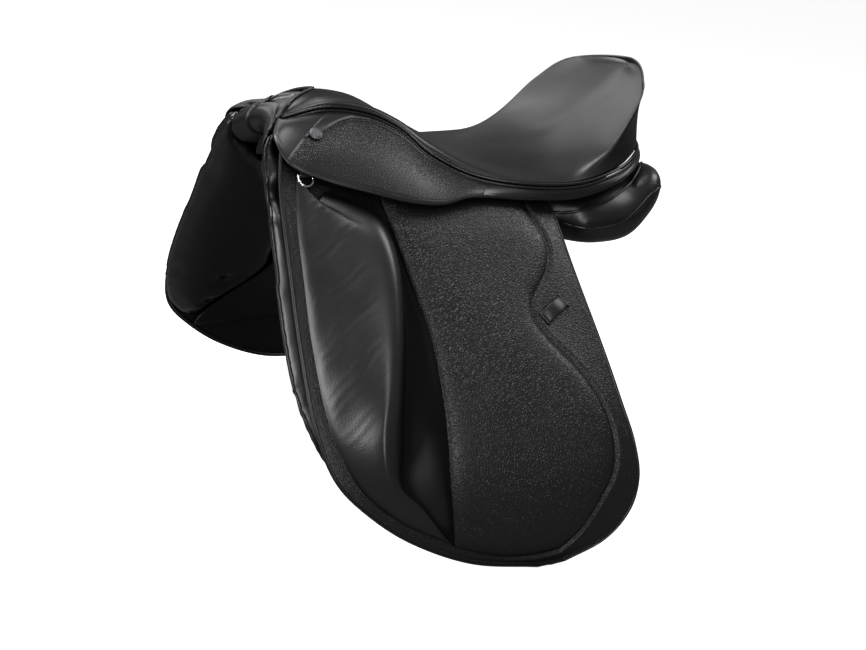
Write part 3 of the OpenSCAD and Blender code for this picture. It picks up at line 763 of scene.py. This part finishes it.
def make_head():
    """Binding cords round the cut-back head, and the facing that fills it and curls under."""
    edge = head_edge(40)
    for k in range(2):
        path = edge + np.array([0.6 + 2.6 * k, 0, 0.4 - 1.3 * k])
        single(cord(f"head_binding_{k}", path, 1.7, PIPING),
               ("pommel_facing",) if k == 0 else ())
    s = edge[:, 1] / np.abs(edge[0, 1])
    lip = np.stack([LIP_X * KX + LIP_REACH * s * s, LIP_HALF * KY * s,
                    (LIP_Z - LIP_FALL * s * s) * KZ], 1)
    guides = [mix(edge, lip, share) + [0, 0, lump - FACING_T * (share == 0)]
              for share, lump in FACING_TO_LIP]
    guides += [lip + [dx, 0, dz] for dx, dz in FACING_CURL]
    guides = np.array(guides)
    v = np.linspace(0, 1, 60)
    top = np.stack([on(guides[:, k], v) for k in range(len(edge))])
    out = unit(np.cross(np.gradient(top, axis=0), np.gradient(top, axis=1)))
    forward_and_up = out[..., 0] * 0.6 + out[..., 2] * 0.8
    out = out * np.where(forward_and_up[:, :1] > 0, 1, -1)[..., None]
    single(slab("head_facing", top, top - out * FACING_T, SMOOTH, 0.0))


# ---- skirts ----

# Seam of the skirt's pebbled inset, as (u, v) on the skirt from its front edge back.
INSET = np.array([
    (0.132, 0.62), (0.147, 0.52), (0.160, 0.44), (0.178, 0.24), (0.20, 0.12), (0.24, 0.075),
    (0.33, 0.07), (0.42, 0.09), (0.54, 0.13)
])


def skirt_span(u):
    """Width of the skirt from the welt to its free edge."""
    return np.linalg.norm(on(SKIRT_EDGE, u, True) - skirt_root(u), axis=-1)


def inset_seam(u):
    """Place across the skirt of the inset's seam. In front of the inset it is off the skirt."""
    return np.interp(u, INSET[:, 0], INSET[:, 1], left=1.2)


def skirt_height(u, v):
    """Relief of the skirt: a padded roll by the welt, the sewn inset and a creased edge."""
    width = skirt_span(u)
    seam = inset_seam(u)
    from_seam = (v - seam) * width
    across = np.clip(v / np.maximum(seam, 0.05), 0, 1)
    roll = 3.2 * np.sin(across * math.pi) ** 0.8 * ease(seam * width / 25) * (seam < 1)
    groove = -1.1 * bell(from_seam, 0, 1.1) * (seam < 1)
    puff = 0.9 * ease(from_seam / 5) * (seam < 1)
    edge = (1 - v) * width
    crease = -0.5 * bell(edge, 4.2, 0.6)
    thin = -0.9 * (1 - ease(edge / 3.5))
    return roll + groove + puff + crease + thin


def skirt_pebble(u, v):
    """How much grain the skirt shows: full by the inset's seam, less toward its edge."""
    width = skirt_span(u)
    seam = inset_seam(u)
    inside = ease(((v - seam) * width + 0.5) / 2)
    fade = mix(1.0, 0.35, ease((v - seam - 0.25) / 0.4))
    return inside * fade * ease((1 - v) * width / 5)


def make_skirt():
    """Skirt over the stirrup bar, with the row of stitches along its inset."""
    u, v = grid(170, 70, (0.006, BELLY_END + 0.012))
    top = skirt_at(u, v, skirt_height(u, v))
    under = skirt_at(u, v, -SKIRT_T + 0.4)
    skirt = slab("skirt_leather_left", top, under, PEBBLED, skirt_pebble(u, v))
    both(skirt, "skirt", "flap_leather", ("skirt_root", "skirt"), SKIRT_BEND)
    uu = np.linspace(INSET[2, 0], BELLY_END, 160)
    vv = inset_seam(uu) - 2.4 / skirt_span(uu)
    path = skirt_at(uu, vv, skirt_height(uu, vv) + 0.1)
    sewn = stitches("skirt_stitches_left", [(path, np.broadcast_to(SKIRT_N, path.shape))])
    both(sewn, "skirt", "webbing", (), SKIRT_BEND)


def make_rear_band():
    """Band of leather under the welt, from one skirt round the cantle to the other."""
    n = 90
    u = np.concatenate([np.linspace(BELLY_END, 1, n), np.linspace(1, BELLY_END, n)[1:]])
    u, v = np.meshgrid(u, np.linspace(0, 1, 20), indexing="ij")
    edge = (1 - v) * skirt_span(u)
    height = 0.3 - 0.4 * bell(edge, 3.6, 0.6) - 0.8 * (1 - ease(edge / 3))
    top, under = skirt_at(u, v, height), skirt_at(u, v, -SKIRT_T + 1.0)
    for face in (top, under):
        face[n:] *= FLIP
    single(slab("rear_skirt_leather", top, under, SMOOTH, 0.0), ("rear_skirt",))


# ---- flaps ----

# Side-view edges of the padded panel, and how far its hem hangs below the line between them.
PAD_FRONT = np.array([
    (130, 36), (124, 2), (115, -50), (107, -100), (108, -160), (113, -215), (110, -263),
    (105, -297)
])
PAD_REAR = np.array([
    (-48, 36), (-52, 14), (-65, -18), (-59, -40), (-42, -57), (-27, -71), (-23, -87), (-34, -105),
    (-60, -133), (-77, -164), (-82, -197), (-78, -227), (-62, -258), (-41, -291), (-19, -311)
])
HEM_SAG = 44


def pad_outline(n=120):
    """The pad's front and rear edges from the top down, and its hem from front to rear."""
    front = even(on(PAD_FRONT * DROP, np.linspace(0, 1, n)), n)
    rear = even(on(PAD_REAR * DROP, np.linspace(0, 1, n)), n)
    foot = np.linspace(0, 1, 30)[:, None]
    hem = mix(front[-1], rear[-1], foot) - [0, 1] * (foot * (1 - foot)) * HEM_SAG
    return front, rear, hem


def flap_outline():
    """Side-view outline of the flap, down its front and up its rear."""
    t = np.linspace(0, 1, 160)
    return np.vstack([on(FLAP_FRONT, t), on(FLAP_REAR, t)[::-1]])


def flap_grid(rows, cols):
    """Side-view places of the flap: the top edge is hidden under the skirt."""
    c = np.linspace(0, 1, cols)
    a = np.linspace(0, 0.25, 60)
    places = mix(on(FLAP_FRONT, a)[:, None], on(FLAP_REAR, a)[:, None], c[None, :, None])
    wanted = np.interp(c, (0, 0.1, 0.25, 0.35, 1), (84, 80, 50, 37, 34))
    start = np.array([np.interp(-wanted[j], -places[:, j, 1], a) for j in range(cols)])
    t = np.linspace(0, 1, rows)[:, None]
    a = mix(start[None], 1.0, t)
    c = np.broadcast_to(c[None], a.shape)
    return mix(on(FLAP_FRONT, a), on(FLAP_REAR, a), c[..., None])


def flap_relief(q):
    """Height of the flap's own leather over its plain face."""
    _, rear, hem = pad_outline()
    seam = distance(q, np.vstack([rear, hem[::-1]]))
    edge = distance(q, flap_outline())
    lift = 2.6 * np.exp(-np.maximum(seam - 4, 0) / 16) * ease(seam / 5) - 0.6
    behind = ease((60 - q[..., 0]) / 30)
    hem_line = -0.55 * bell(edge, 5.2, 0.7)
    return lift * behind * ease((edge - 4) / 8) + hem_line - 0.5 * (1 - ease(edge / 3.5))


def lay_on_flap(name, q, height, depth, material, stands_for, pebble, dull=None):
    """A sheet of leather on both flaps, over the given side-view places."""
    sheet = slab(name, flap_at(q, height), flap_at(q, -depth), material, pebble, dull)
    both(sheet, "flap", "flap_leather", stands_for, FLAP_BEND)


def sew_flap(name, lines):
    """Rows of stitches on the flap's face along side-view lines."""
    rows = [(flap_at(q, flap_relief(q) + 0.1), flap_n(*q.T)) for q in lines]
    both(stitches(name, rows), "flap", "webbing", (), FLAP_BEND)


def beside(line, out):
    """A side-view line moved sideways, to its left as it runs."""
    d = unit(np.gradient(line, axis=0))
    return line + np.stack([-d[:, 1], d[:, 0]], 1) * out


def make_flap():
    """Flap leather, with less grain along its edge."""
    q = flap_grid(190, 150)
    grain = 0.25 + 0.6 * ease(distance(q, flap_outline()) / 6)
    lay_on_flap("flap_leather_left", q, flap_relief(q), FLAP_T, PEBBLED, ("flap_root", "flap"),
                grain)


def make_flap_edge():
    """Bound edge of the flap: a fine cord under its rim, and a second one behind the first."""
    front = even(on(FLAP_FRONT, np.linspace(0.02, 1, 200)), 170)
    rear = even(on(FLAP_REAR, np.linspace(0.06, 1, 200)), 150)
    outline = np.vstack([front, rear[-2::-1]])
    path = flap_at(outline, -0.7)
    out = unit(np.cross(np.gradient(path, axis=0), flap_n(*outline.T)))
    pipe("flap_edge_left", path - out * 1.0, 1.5, "flap", (), FLAP_BEND)
    inner = flap_at(front, -4.6) - out[:len(front)] * 3.0
    pipe("flap_lining_cord_left", inner, 1.8, "flap", (), FLAP_BEND)


def pad_grid(rows, cols):
    """Side-view places of the padded panel."""
    front, rear, _ = pad_outline(rows)
    c = np.linspace(0, 1, cols)[None, :, None]
    q = mix(front[:, None], rear[:, None], c)
    sag = ease((np.linspace(0, 1, rows)[:, None] - 0.72) / 0.28)
    q[..., 1] -= sag * HEM_SAG * (c * (1 - c))[..., 0]
    return q


def pad_relief(q):
    """Height of the padded panel: quilted up from its seam, with a slow wave."""
    front, rear, hem = pad_outline()
    around = distance(q, np.vstack([front, hem, rear[::-1]]))
    quilt = 5.6 * (1 - np.exp(-around / 6.5))
    dip = -1.4 * bell(around, 0, 1.4)
    wave = 0.35 * np.sin(q[..., 0] / 17 + 0.6) * np.sin(q[..., 1] / 23)
    return quilt + dip + wave * ease(around / 25) - 0.2


def make_flap_pad():
    """Padded pebbled panel of the flap, and the stitches round its rear."""
    q = pad_grid(200, 110)
    lay_on_flap("flap_pad_leather_left", q, pad_relief(q), 1.6, PEBBLED, ("flap_pad",), 1.0)
    _, rear, hem = pad_outline()
    sew_flap("pad_stitches_left", [beside(even(np.vstack([rear, hem[::-1]]), 240), -2.6)])


# Thigh block, from the top down: side-view place and height of the front seam, the crest, the
# foot of the steep rear face, the ridge of the gusset, and the end beside the pad.
BLOCK_SEAM = np.array([
    (221, 50, 0), (229, 10, 0), (233, -40, 0), (236, -102, 0), (231, -171, 0), (208, -226, 0),
    (165, -265, 0), (110, -294, 0)
])
BLOCK_CREST = np.array([
    (202, 24, 4), (176, 7, 15), (152, -12, 25), (146, -45, 30), (153, -90, 31), (167, -135, 31),
    (184, -180, 31), (181, -217, 23), (150, -244, 12), (111, -291, 2)
])
BLOCK_FOOT = np.array([
    (190, 35, 0.5), (160, 22, 0.5), (134, 4, 0), (126, -35, 0), (133, -85, 0), (146, -135, 0),
    (158, -185, 1.5), (164, -226, 6), (140, -252, 7), (109, -291, 1)
])
BLOCK_RIDGE = np.array([
    (152, 42, 1), (138, 28, 1), (124, 0, 1), (118, -40, 1), (113, -90, 1), (118, -140, 1.5),
    (127, -185, 5), (126, -226, 7), (117, -262, 6), (107, -293, 1.5)
])
BLOCK_END = np.array([
    (132, 44, 1), (128, 20, 2), (122, -8, 3), (114, -48, 2.6), (107, -92, 2.6), (107, -140, 2.6),
    (110, -185, 2.6), (112, -228, 2.6), (109, -264, 2.6), (104, -296, 1)
])
BLOCK_LINES = (BLOCK_SEAM, BLOCK_CREST, BLOCK_FOOT, BLOCK_RIDGE, BLOCK_END)
# Share of the way across the block, from seam to end, at which each of the middle lines lies.
CREST_S, FOOT_S, RIDGE_S = 0.5, 0.74, 0.9


def way(s, start, end):
    """Share of the way from start to end, held between 0 and 1."""
    return np.clip((s - start) / (end - start), 0, 1)[..., None]


def block_points(t, s):
    """Side-view place and height of the block: t runs down it, s back from the front seam."""
    seam, crest, foot, ridge, end = [on(line, t) for line in BLOCK_LINES]
    a, turn = way(s, 0, CREST_S), way(s, CREST_S, FOOT_S) * math.pi / 2
    c, d = way(s, FOOT_S, RIDGE_S), way(s, RIDGE_S, 1)
    face = mix(seam[..., :2], crest[..., :2], a)
    height = crest[..., 2:] * (0.35 * a ** 1.1 + 0.65 * np.sin(a * math.pi / 2))
    face = mix(face, foot[..., :2], np.sin(turn) ** 1.1)
    height = mix(foot[..., 2:], height, np.where(turn > 0, np.cos(turn) ** 0.9, 1.0))
    face = mix(face, ridge[..., :2], c)
    height = mix(height, ridge[..., 2:], c ** 1.3)
    face = mix(face, end[..., :2], d)
    height = mix(height, end[..., 2:], ease(d))
    return np.concatenate([face, height], -1)


def wrinkles(q):
    """Fine creases that run up and back from the front seam."""
    across = (q[..., 0] * 0.55 + q[..., 1] * 0.83)
    along = (q[..., 0] * 0.83 - q[..., 1] * 0.55)
    wobble = 2.2 * np.sin(along / 19) + 1.1 * np.sin(along / 7.3 + 1)
    creases = 0.5 + 0.5 * np.sin((across + wobble) / 1.35)
    broad = 0.5 + 0.5 * np.sin((across + 2 * wobble) / 5.1 + 0.8)
    return 0.26 * creases * broad + 0.3 * broad


BLOCK_SOFTENING = 26


def make_thigh_block():
    """Thigh block with its gusset, with painted shade dimming the shine in the channel behind it,
    and two rows of stitches.
    """
    t, s = grid(210, 120)
    p = block_points(t, s)
    for _ in range(BLOCK_SOFTENING):
        p[:, 1:-1] = (p[:, :-2] + 2 * p[:, 1:-1] + p[:, 2:]) / 4
    seam = distance(p[..., :2], p[:, 0, :2])
    puff = 3.0 * (1 - np.exp(-seam / 4.0)) - 0.8
    h = p[..., 2] + puff * ease((0.62 - s) / 0.2) * ease((p[..., 2] + 3) / 4)
    h = h + wrinkles(p) * ease((0.5 - s) / 0.3) * ease(seam / 12) * ease((p[..., 1] + 230) / 80)
    h = h + 0.4 * np.sin(p[..., 1] / 31 + p[..., 0] / 40) * ease(seam / 20) * ease((0.6 - s) / 0.2)
    grain = 0.25 - 0.2 * ease((s - 0.2) / 0.2)
    gusset = ease((p[..., 2] - 3.5) / 3) * ease((s - FOOT_S) / 0.08)
    # painted shade: the shine is dimmed in the channel behind the crest, and less on the gusset
    channel_shade = 0.93 * ease((s - 0.54) / 0.1) * (1 - 0.55 * gusset)
    lay_on_flap("thigh_block_leather_left", p, h, 1.4, BLOCK, ("thigh_block",), grain, channel_shade)
    line = even(p[:, 0, :2], 220)
    sew_flap("block_stitches_left", [beside(line, out) for out in (2.0, 5.0)])


KEEPER_ENDS = np.array([(-34, -87), (-65, -72)])
KEEPER_W, KEEPER_T, SLOT_HALF = 13.5, 1.8, 9.5


def make_keeper():
    """Raised leather loop with its two ends tucked through slots in the flap."""
    t = np.linspace(0, 1, 26)
    q = mix(KEEPER_ENDS[0], KEEPER_ENDS[1], t[:, None])
    rise = 7.5 * np.sin(t * math.pi) ** 0.55 - 0.6
    base = flap_relief(q)
    path = flap_at(q, base + rise)
    lean = flap_n(*q.T)
    tangent = unit(np.gradient(path, axis=0))
    across = unit(np.cross(tangent, lean))
    normals = np.cross(across, tangent)
    loop = band("keeper_loop_left", path, normals, KEEPER_W, KEEPER_T, STRAP)
    both(loop, "flap", "strap_leather", ("flap_keeper",))
    length_way = unit(flap_p(*q[-1]) - flap_p(*q[0]))
    slot = np.linspace(-SLOT_HALF, SLOT_HALF, 12)[:, None]
    for k in (0, -1):
        side = unit(np.cross(length_way, flap_n(*q[k])))
        mouth = flap_p(*q[k], base[k] + 0.5)
        pipe(f"keeper_slot_{-k}_left", mouth + side * slot, 1.3, "flap")


# ---- panels ----

# Rear panel from front to back: place along X, centre across and up, half width, half depth
# and tilt in degrees.
PANEL_STATIONS = np.array([
    (124, 54, 34, 18, 8, -46), (104, 57, 26, 25, 12, -42), (60, 60, 16, 28, 15, -34),
    (10, 65, 7, 30, 18, -27), (-50, 70, -1, 33, 21, -21), (-94, 72, -4, 34, 24, -18),
    (-134, 81, -8, 48, 28, -16), (-170, 82, -7, 49, 32, -15), (-208, 80, -2, 46, 33, -12),
    (-238, 76, 17, 38, 33, -7), (-253, 74, 24, 28, 24, -4)
], float)
PANEL_TOP_CORD = np.array([
    (-92, 117, 3), (-130, 116, 6), (-165, 112, 12), (-200, 101, 26), (-228, 84, 39),
    (-243, 68, 44)
], float)
PANEL_GUSSET_CORD = np.array([
    (-95, 128, -14), (-130, 131, -16), (-170, 128, -12), (-205, 116, 2), (-232, 99, 20),
    (-246, 80, 32)
], float)
GULLET_HALF = -0.5 * (high("panel_right", 1) - low("panel_left", 1))


def panel_rings(n, sides, shrink):
    """Sections of the rear panel, drawn in all round by the shrinkage."""
    a = np.arange(sides) * 2 * math.pi / sides
    rings = []
    for u in np.linspace(0, 1, n):
        x, cy, cz, w, t, tilt = on(PANEL_STATIONS, u)
        tilt = math.radians(tilt)
        y = (w - shrink) * squared(np.cos(a), 0.8)
        z = (t - shrink) * squared(np.sin(a), 0.8)
        across = np.maximum(GULLET_HALF + shrink * 0.5,
                            cy + y * math.cos(tilt) - z * math.sin(tilt))
        rings.append(np.stack([np.full(sides, x * KX), across,
                               cz + y * math.sin(tilt) + z * math.cos(tilt)], 1))
    return np.array(rings)


VOXEL, PRESSURE, CLOTH_FRAMES, SETTLING = 4.5, 4.0, 20, 9


def points_of(obj):
    """A piece's vertices, in metres."""
    co = np.zeros(len(obj.data.vertices) * 3, np.float32)
    obj.data.vertices.foreach_get("co", co)
    return co.reshape(-1, 3).astype(float)


def move_points(obj, points):
    """Moves a piece's vertices to new places, in metres."""
    obj.data.vertices.foreach_set("co", points.astype(np.float32).ravel())
    obj.data.update()


def set_all(thing, **values):
    for key, value in values.items():
        setattr(thing, key, value)


def apply_modifier(obj, kind, **values):
    """Adds a modifier with its settings and applies it."""
    modifier = obj.modifiers.new(kind.lower(), kind)
    set_all(modifier, **values)
    bpy.ops.object.modifier_apply(modifier=modifier.name)


def press_out(obj, cap):
    """Lets cloth under pressure round a piece out by up to the cap."""
    start = points_of(obj)
    cloth = obj.modifiers.new("cloth", "CLOTH")
    set_all(cloth.settings, quality=5, mass=0.3, tension_stiffness=18, compression_stiffness=18,
            shear_stiffness=8, bending_stiffness=1.5, use_pressure=True,
            uniform_pressure_force=PRESSURE)
    cloth.settings.effector_weights.gravity = 0
    cloth.collision_settings.use_collision = False
    set_all(cloth.point_cache, frame_start=1, frame_end=CLOTH_FRAMES)
    for k in range(1, CLOTH_FRAMES + 1):
        bpy.context.scene.frame_set(k)
    bpy.ops.object.modifier_apply(modifier=cloth.name)
    move = points_of(obj) - start
    size = np.linalg.norm(move, axis=1, keepdims=True)
    move_points(obj, start + move * np.minimum(1, cap * MM / np.maximum(size, 1e-9)))
    bpy.context.scene.frame_set(1)


def inflate(obj, cap):
    """Remeshes a padded piece, presses it out as cloth and smooths it."""
    bpy.context.view_layer.objects.active = obj
    for o in bpy.context.selected_objects:
        o.select_set(False)
    obj.select_set(True)
    apply_modifier(obj, "REMESH", mode="VOXEL", voxel_size=VOXEL * MM, use_smooth_shade=True)
    press_out(obj, cap)
    apply_modifier(obj, "SMOOTH", factor=0.5, iterations=SETTLING)
    apply_modifier(obj, "SUBSURF", levels=1, render_levels=1)
    obj.data.shade_smooth()
    return obj


def snapped(obj, path, lift):
    """The path moved onto a piece's surface, and the surface normals there."""
    tree = BVHTree.FromObject(obj, bpy.context.evaluated_depsgraph_get())
    spots, normals = [], []
    for p in path:
        place, normal, _, _ = tree.find_nearest(Vector(p) * MM)
        normals.append(np.array(normal))
        spots.append(np.array(place) / MM + np.array(normal) * lift)
    normals = np.array(normals)
    for _ in range(3):
        normals[1:-1] = (normals[:-2] + normals[1:-1] * 2 + normals[2:]) / 4
    return np.array(spots), unit(normals)


def make_panel():
    """Flocked rear panel with a gusset cord, and the seam cord along its top."""
    panel = inflate(loft("panel_cushion_left", panel_rings(70, 40, 2.0), PANEL), 5.0)
    for k, line in enumerate((PANEL_TOP_CORD, PANEL_GUSSET_CORD)):
        path, _ = snapped(panel, on(line, np.linspace(0, 1, 60)), 0.4)
        pipe(f"panel_cord_{k}_left", path, 1.6)
    both(panel, "saddle", "panel_leather", ("panel",))


FORE_T = 23.0
# Front edge of the long cushion, proud of the flap, from the head down: place along X and height.
FORE_LINE = np.array([
    (233, 97), (242, 88), (251, 66), (256, 35), (260, 0), (264, -50), (267, -100), (262, -150),
    (249, -190), (234, -212), (216, -228)
], float)


def fore_back(z):
    """Rear edge of the long cushion: it rises to a point at the head, and narrows below."""
    tongue = np.minimum(232 - 0.8 * np.maximum(z - 84, 0), 193 + 1.25 * (z - 46))
    return np.maximum(mix(112, 206, ease((-140 - z) / 110)), tongue)


def fore_front(z):
    """Front edge of the long cushion at a height."""
    line = even(on(FORE_LINE, np.linspace(0, 1, 80)), 60)[::-1]
    return np.interp(z, line[:, 1], line[:, 0])


def fore_rings(n, sides, shrink):
    """Sections of the long cushion from the top down. It is thin where the stirrup bar sits."""
    a = np.arange(sides) * 2 * math.pi / sides
    c, s = np.cos(a), np.sin(a)
    rings = []
    for z in np.linspace(FORE_LINE[0, 1] - shrink, FORE_LINE[-1, 1] + shrink, n):
        slim = shrink * ease((90 - z) / 30)
        high_up = ease((z - 12) / 26) * (1 - ease((z - 40) / 16))
        t = mix(FORE_T, 12, high_up) / 2 - slim
        t = t * mix(1, 0.6, ease((z - 60) / 30))
        deep = mix(FLAP_T + 1.5, 19, high_up) + slim
        place = mix(fore_back(z) + slim, fore_front(z) - slim, 0.5 + 0.5 * squared(c, 0.6))
        rings.append(flap_p(place, np.full(sides, z), -deep - t + t * squared(s, 0.7)))
    return np.array(rings)


# Places of the tufts in side view, and the depth and reach of the dent round each.
TUFTS = [(180, -155), (192, -197), (207, -220)]
DENT_DEPTH, DENT_REACH = 5.0, 9.0


def make_fore_panel():
    """Long front cushion, with a cord along its front edge and its tufts pulled in."""
    fore = inflate(loft("fore_cushion_left", fore_rings(90, 44, 1.6), PANEL), 3.5)
    p = points_of(fore) / MM
    inner = -FLAP_T - FORE_T
    dent = np.zeros(len(p))
    for x, z in TUFTS:
        centre = flap_p(x, z, inner)
        gap = np.linalg.norm((p - centre) / [1.35, 1, 1], axis=1)
        dent = np.maximum(dent, DENT_DEPTH * bell(gap, 0, DENT_REACH))
    move_points(fore, (p + flap_n(p[:, 0], p[:, 2]) * dent[:, None]) * MM)
    z = np.linspace(94, -222, 120)
    guide = np.stack([fore_front(z) + 6, flap_y(fore_front(z), z) - 5, z], 1)
    path, _ = snapped(fore, guide, 0.2)
    pipe("panel_piping_left", path, 1.7)
    for k, (x, z) in enumerate(TUFTS):
        spot, normal = snapped(fore, [flap_p(x, z, inner)], 0.0)
        ring = np.arange(24) * math.pi / 12
        n = normal[0]
        side = unit(np.cross(n, [0, 0, 1.0]))
        rim = spot[0] + (side * np.cos(ring)[:, None] * 6 + np.cross(n, side)
                         * np.sin(ring)[:, None] * 3.6)
        rim, _ = snapped(fore, rim, 0.3)
        stands_for = ("panel_tufts",) if k == 0 else ()
        pipe(f"tuft_{k}_left", rim, 0.9, stands_for=stands_for, closed=True)
    both(fore, "saddle", "panel_leather", ("fore_panel",))


def make_gullet_lining():
    """Leather over the roof of the gullet."""
    t = np.linspace(0, 1, 50)
    x = mix(140, -190, t)
    roof = 20 - 6 * np.sin(math.pi * t) + 40 * (1 - t) ** 3
    y = np.linspace(-26, 26, 17)
    top = np.stack(np.broadcast_arrays(x[:, None] * KX, y[None], roof[:, None]
                                       + 2 * np.cos(y / 26 * 1.5)[None] - 2), -1)
    single(slab("gullet_leather", top, top - [0, 0, 1.8], PANEL, 0.0),
           ("gullet_lining",))


def make_sweat_flap():
    """Under flap that keeps the girth off the horse, with a creased edge."""
    t, c = grid(80, 50)
    z = mix(8, -246, t)
    x = mix(fore_back(z) - 8, -96 + 60 * t ** 4, c)
    edge = np.minimum(np.minimum(c, 1 - c) * 200, (1 - t) * 250)
    groove = -0.5 * bell(edge, 6, 0.9)
    top = flap_p(x, z, -15.5 + groove)
    under = flap_p(x, z, -18.0 - groove)
    both(slab("sweat_flap_leather_left", top, under, SMOOTH, 0.0), "saddle", "panel_leather",
         ("sweat_flap",))


# Materials for the nodes that stay as they are.
CAD_LOOKS = ((WOOD, "tree_frame tree_point"), (STRAP, "dee_chape front_strap rear_strap"),
             (NAIL, "head_plate gullet_plate tree_rivets saddle_nail"), (CHROME, "front_dee"),
             (STEEL, "stirrup_bar bar_catch catch_pin strap_pins"), (WEB, "seat_webbing strap_web"))


def dress_cad_nodes():
    """Puts their materials on the nodes that stay as they are."""
    looks = {name: look for look, names in CAD_LOOKS for name in names.split()}
    for name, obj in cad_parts.items():
        look = looks.get(name.replace("_left", "").replace("_right", ""))
        if look is not None:
            obj.data.materials.clear()
            obj.data.materials.append(look)


# ---- stage ----

def toward(azimuth, elevation):
    """Unit vector at an azimuth from the left side toward the front, and an elevation."""
    a, e = math.radians(azimuth), math.radians(elevation)
    return Vector((math.sin(a) * math.cos(e), math.cos(a) * math.cos(e), math.sin(e)))


def make_light(name, place, size, power):
    """A rectangular soft light that faces the origin."""
    data = bpy.data.lights.new(name, "AREA")
    data.shape = "RECTANGLE"
    data.size, data.size_y = size
    data.energy = power
    obj = new_object(name, data)
    obj.location = place
    obj.rotation_euler = (-place).to_track_quat("-Z", "Y").to_euler()


LIGHT_DISTANCE = 2.0
# Name, azimuth from the left side toward the front, elevation, size in metres and power.
STUDIO_LIGHTS = (("rear_softbox", -80, 44, (0.9, 0.9), 12),
                 ("front_softbox", 72, 14, (0.6, 1.0), 14),
                 ("far_front_softbox", 120, 45, (0.8, 0.8), 22),
                 ("key_strip", 13, 22, (0.2, 1.5), 9),
                 ("overhead", 90, 86, (0.7, 0.7), 13),
                 ("far_softbox", 178, 36, (1.2, 1.2), 7))
FLOOR_GLOW, SKY_GLOW, FLOOR_REACH = 0.8, 0.16, 14.0


def show_to_camera(tree, seen, bounced, end):
    """Shows one shader to the camera, and another to the light that bounces."""
    to_camera = add(tree, "LightPath").outputs["Is Camera Ray"]
    pick = add(tree, "MixShader", to_camera, bounced, seen)
    feed(tree, tree.nodes[end], "Surface", pick.outputs[0])


def make_floor():
    """Plain pale floor, which glows a little and throws only a dim light back."""
    mat, tree, shader = nodes_of("studio_floor")
    feed(tree, shader, "Base Color", (0.9, 0.9, 0.9, 1))
    feed(tree, shader, "Roughness", 0.9)
    feed(tree, shader, "Specular IOR Level", 0.0)
    glow = add(tree, "Emission", Color=(1, 1, 1, 1), Strength=FLOOR_GLOW)
    lit = add(tree, "AddShader", shader.outputs[0], glow.outputs[0])
    dim = add(tree, "BsdfDiffuse", Color=(0.16, 0.16, 0.16, 1))
    show_to_camera(tree, lit.outputs[0], dim.outputs[0], "Material Output")
    z, r = cad_box[0].z / MM - 2, FLOOR_REACH / MM
    corners = [(-r, -r, z), (r, -r, z), (r, r, z), (-r, r, z)]
    link("studio_floor", new_mesh("studio_floor", corners, [(0, 1, 2, 3)]), mat)


def make_sky():
    """White to the camera, and a faint even light on the saddle."""
    world = bpy.data.worlds.new("studio")
    bpy.context.scene.world = world
    world.use_nodes = True
    tree = world.node_tree
    white = add(tree, "Background", Color=(1, 1, 1, 1), Strength=1.0)
    sky = tree.nodes["Background"]
    feed(tree, sky, "Color", (1, 1, 1, 1))
    feed(tree, sky, "Strength", SKY_GLOW)
    show_to_camera(tree, white.outputs[0], sky.outputs[0], "World Output")


def make_studio():
    """Floor, sky and soft lights."""
    make_floor()
    make_sky()
    for name, azimuth, elevation, size, power in STUDIO_LIGHTS:
        make_light(name, toward(azimuth, elevation) * LIGHT_DISTANCE, size, power)
    bpy.context.scene.view_settings.view_transform = "Standard"


# Camera of the view: its place, the direction back from what it looks at, its roll and lens.
CAMERA_PLACE = Vector((0.8066, 1.4191, 0.4344))
CAMERA_AZIMUTH, CAMERA_ELEVATION, CAMERA_ROLL = 30.09, 20.24, 6.03
CAMERA_LENS = 59.2


def make_camera():
    """The scene's camera."""
    data = bpy.data.cameras.new("camera")
    data.lens = CAMERA_LENS
    data.sensor_width = 36
    obj = new_object("camera", data)
    roll = math.radians(CAMERA_ROLL)
    back = toward(CAMERA_AZIMUTH, CAMERA_ELEVATION)
    right = Vector((0, 0, 1)).cross(back).normalized()
    up = back.cross(right)
    across = right * math.cos(roll) + up * math.sin(roll)
    rise = back.cross(across)
    turn = Matrix((across, rise, back)).transposed()
    obj.matrix_world = Matrix.Translation(CAMERA_PLACE) @ turn.to_4x4()
    bpy.context.scene.camera = obj


make_seat()
make_welts()
make_head()
make_skirt()
make_rear_band()
make_flap()
make_flap_edge()
make_flap_pad()
make_thigh_block()
make_keeper()
make_panel()
make_fore_panel()
make_gullet_lining()
make_sweat_flap()
dress_cad_nodes()
make_studio()
make_camera()
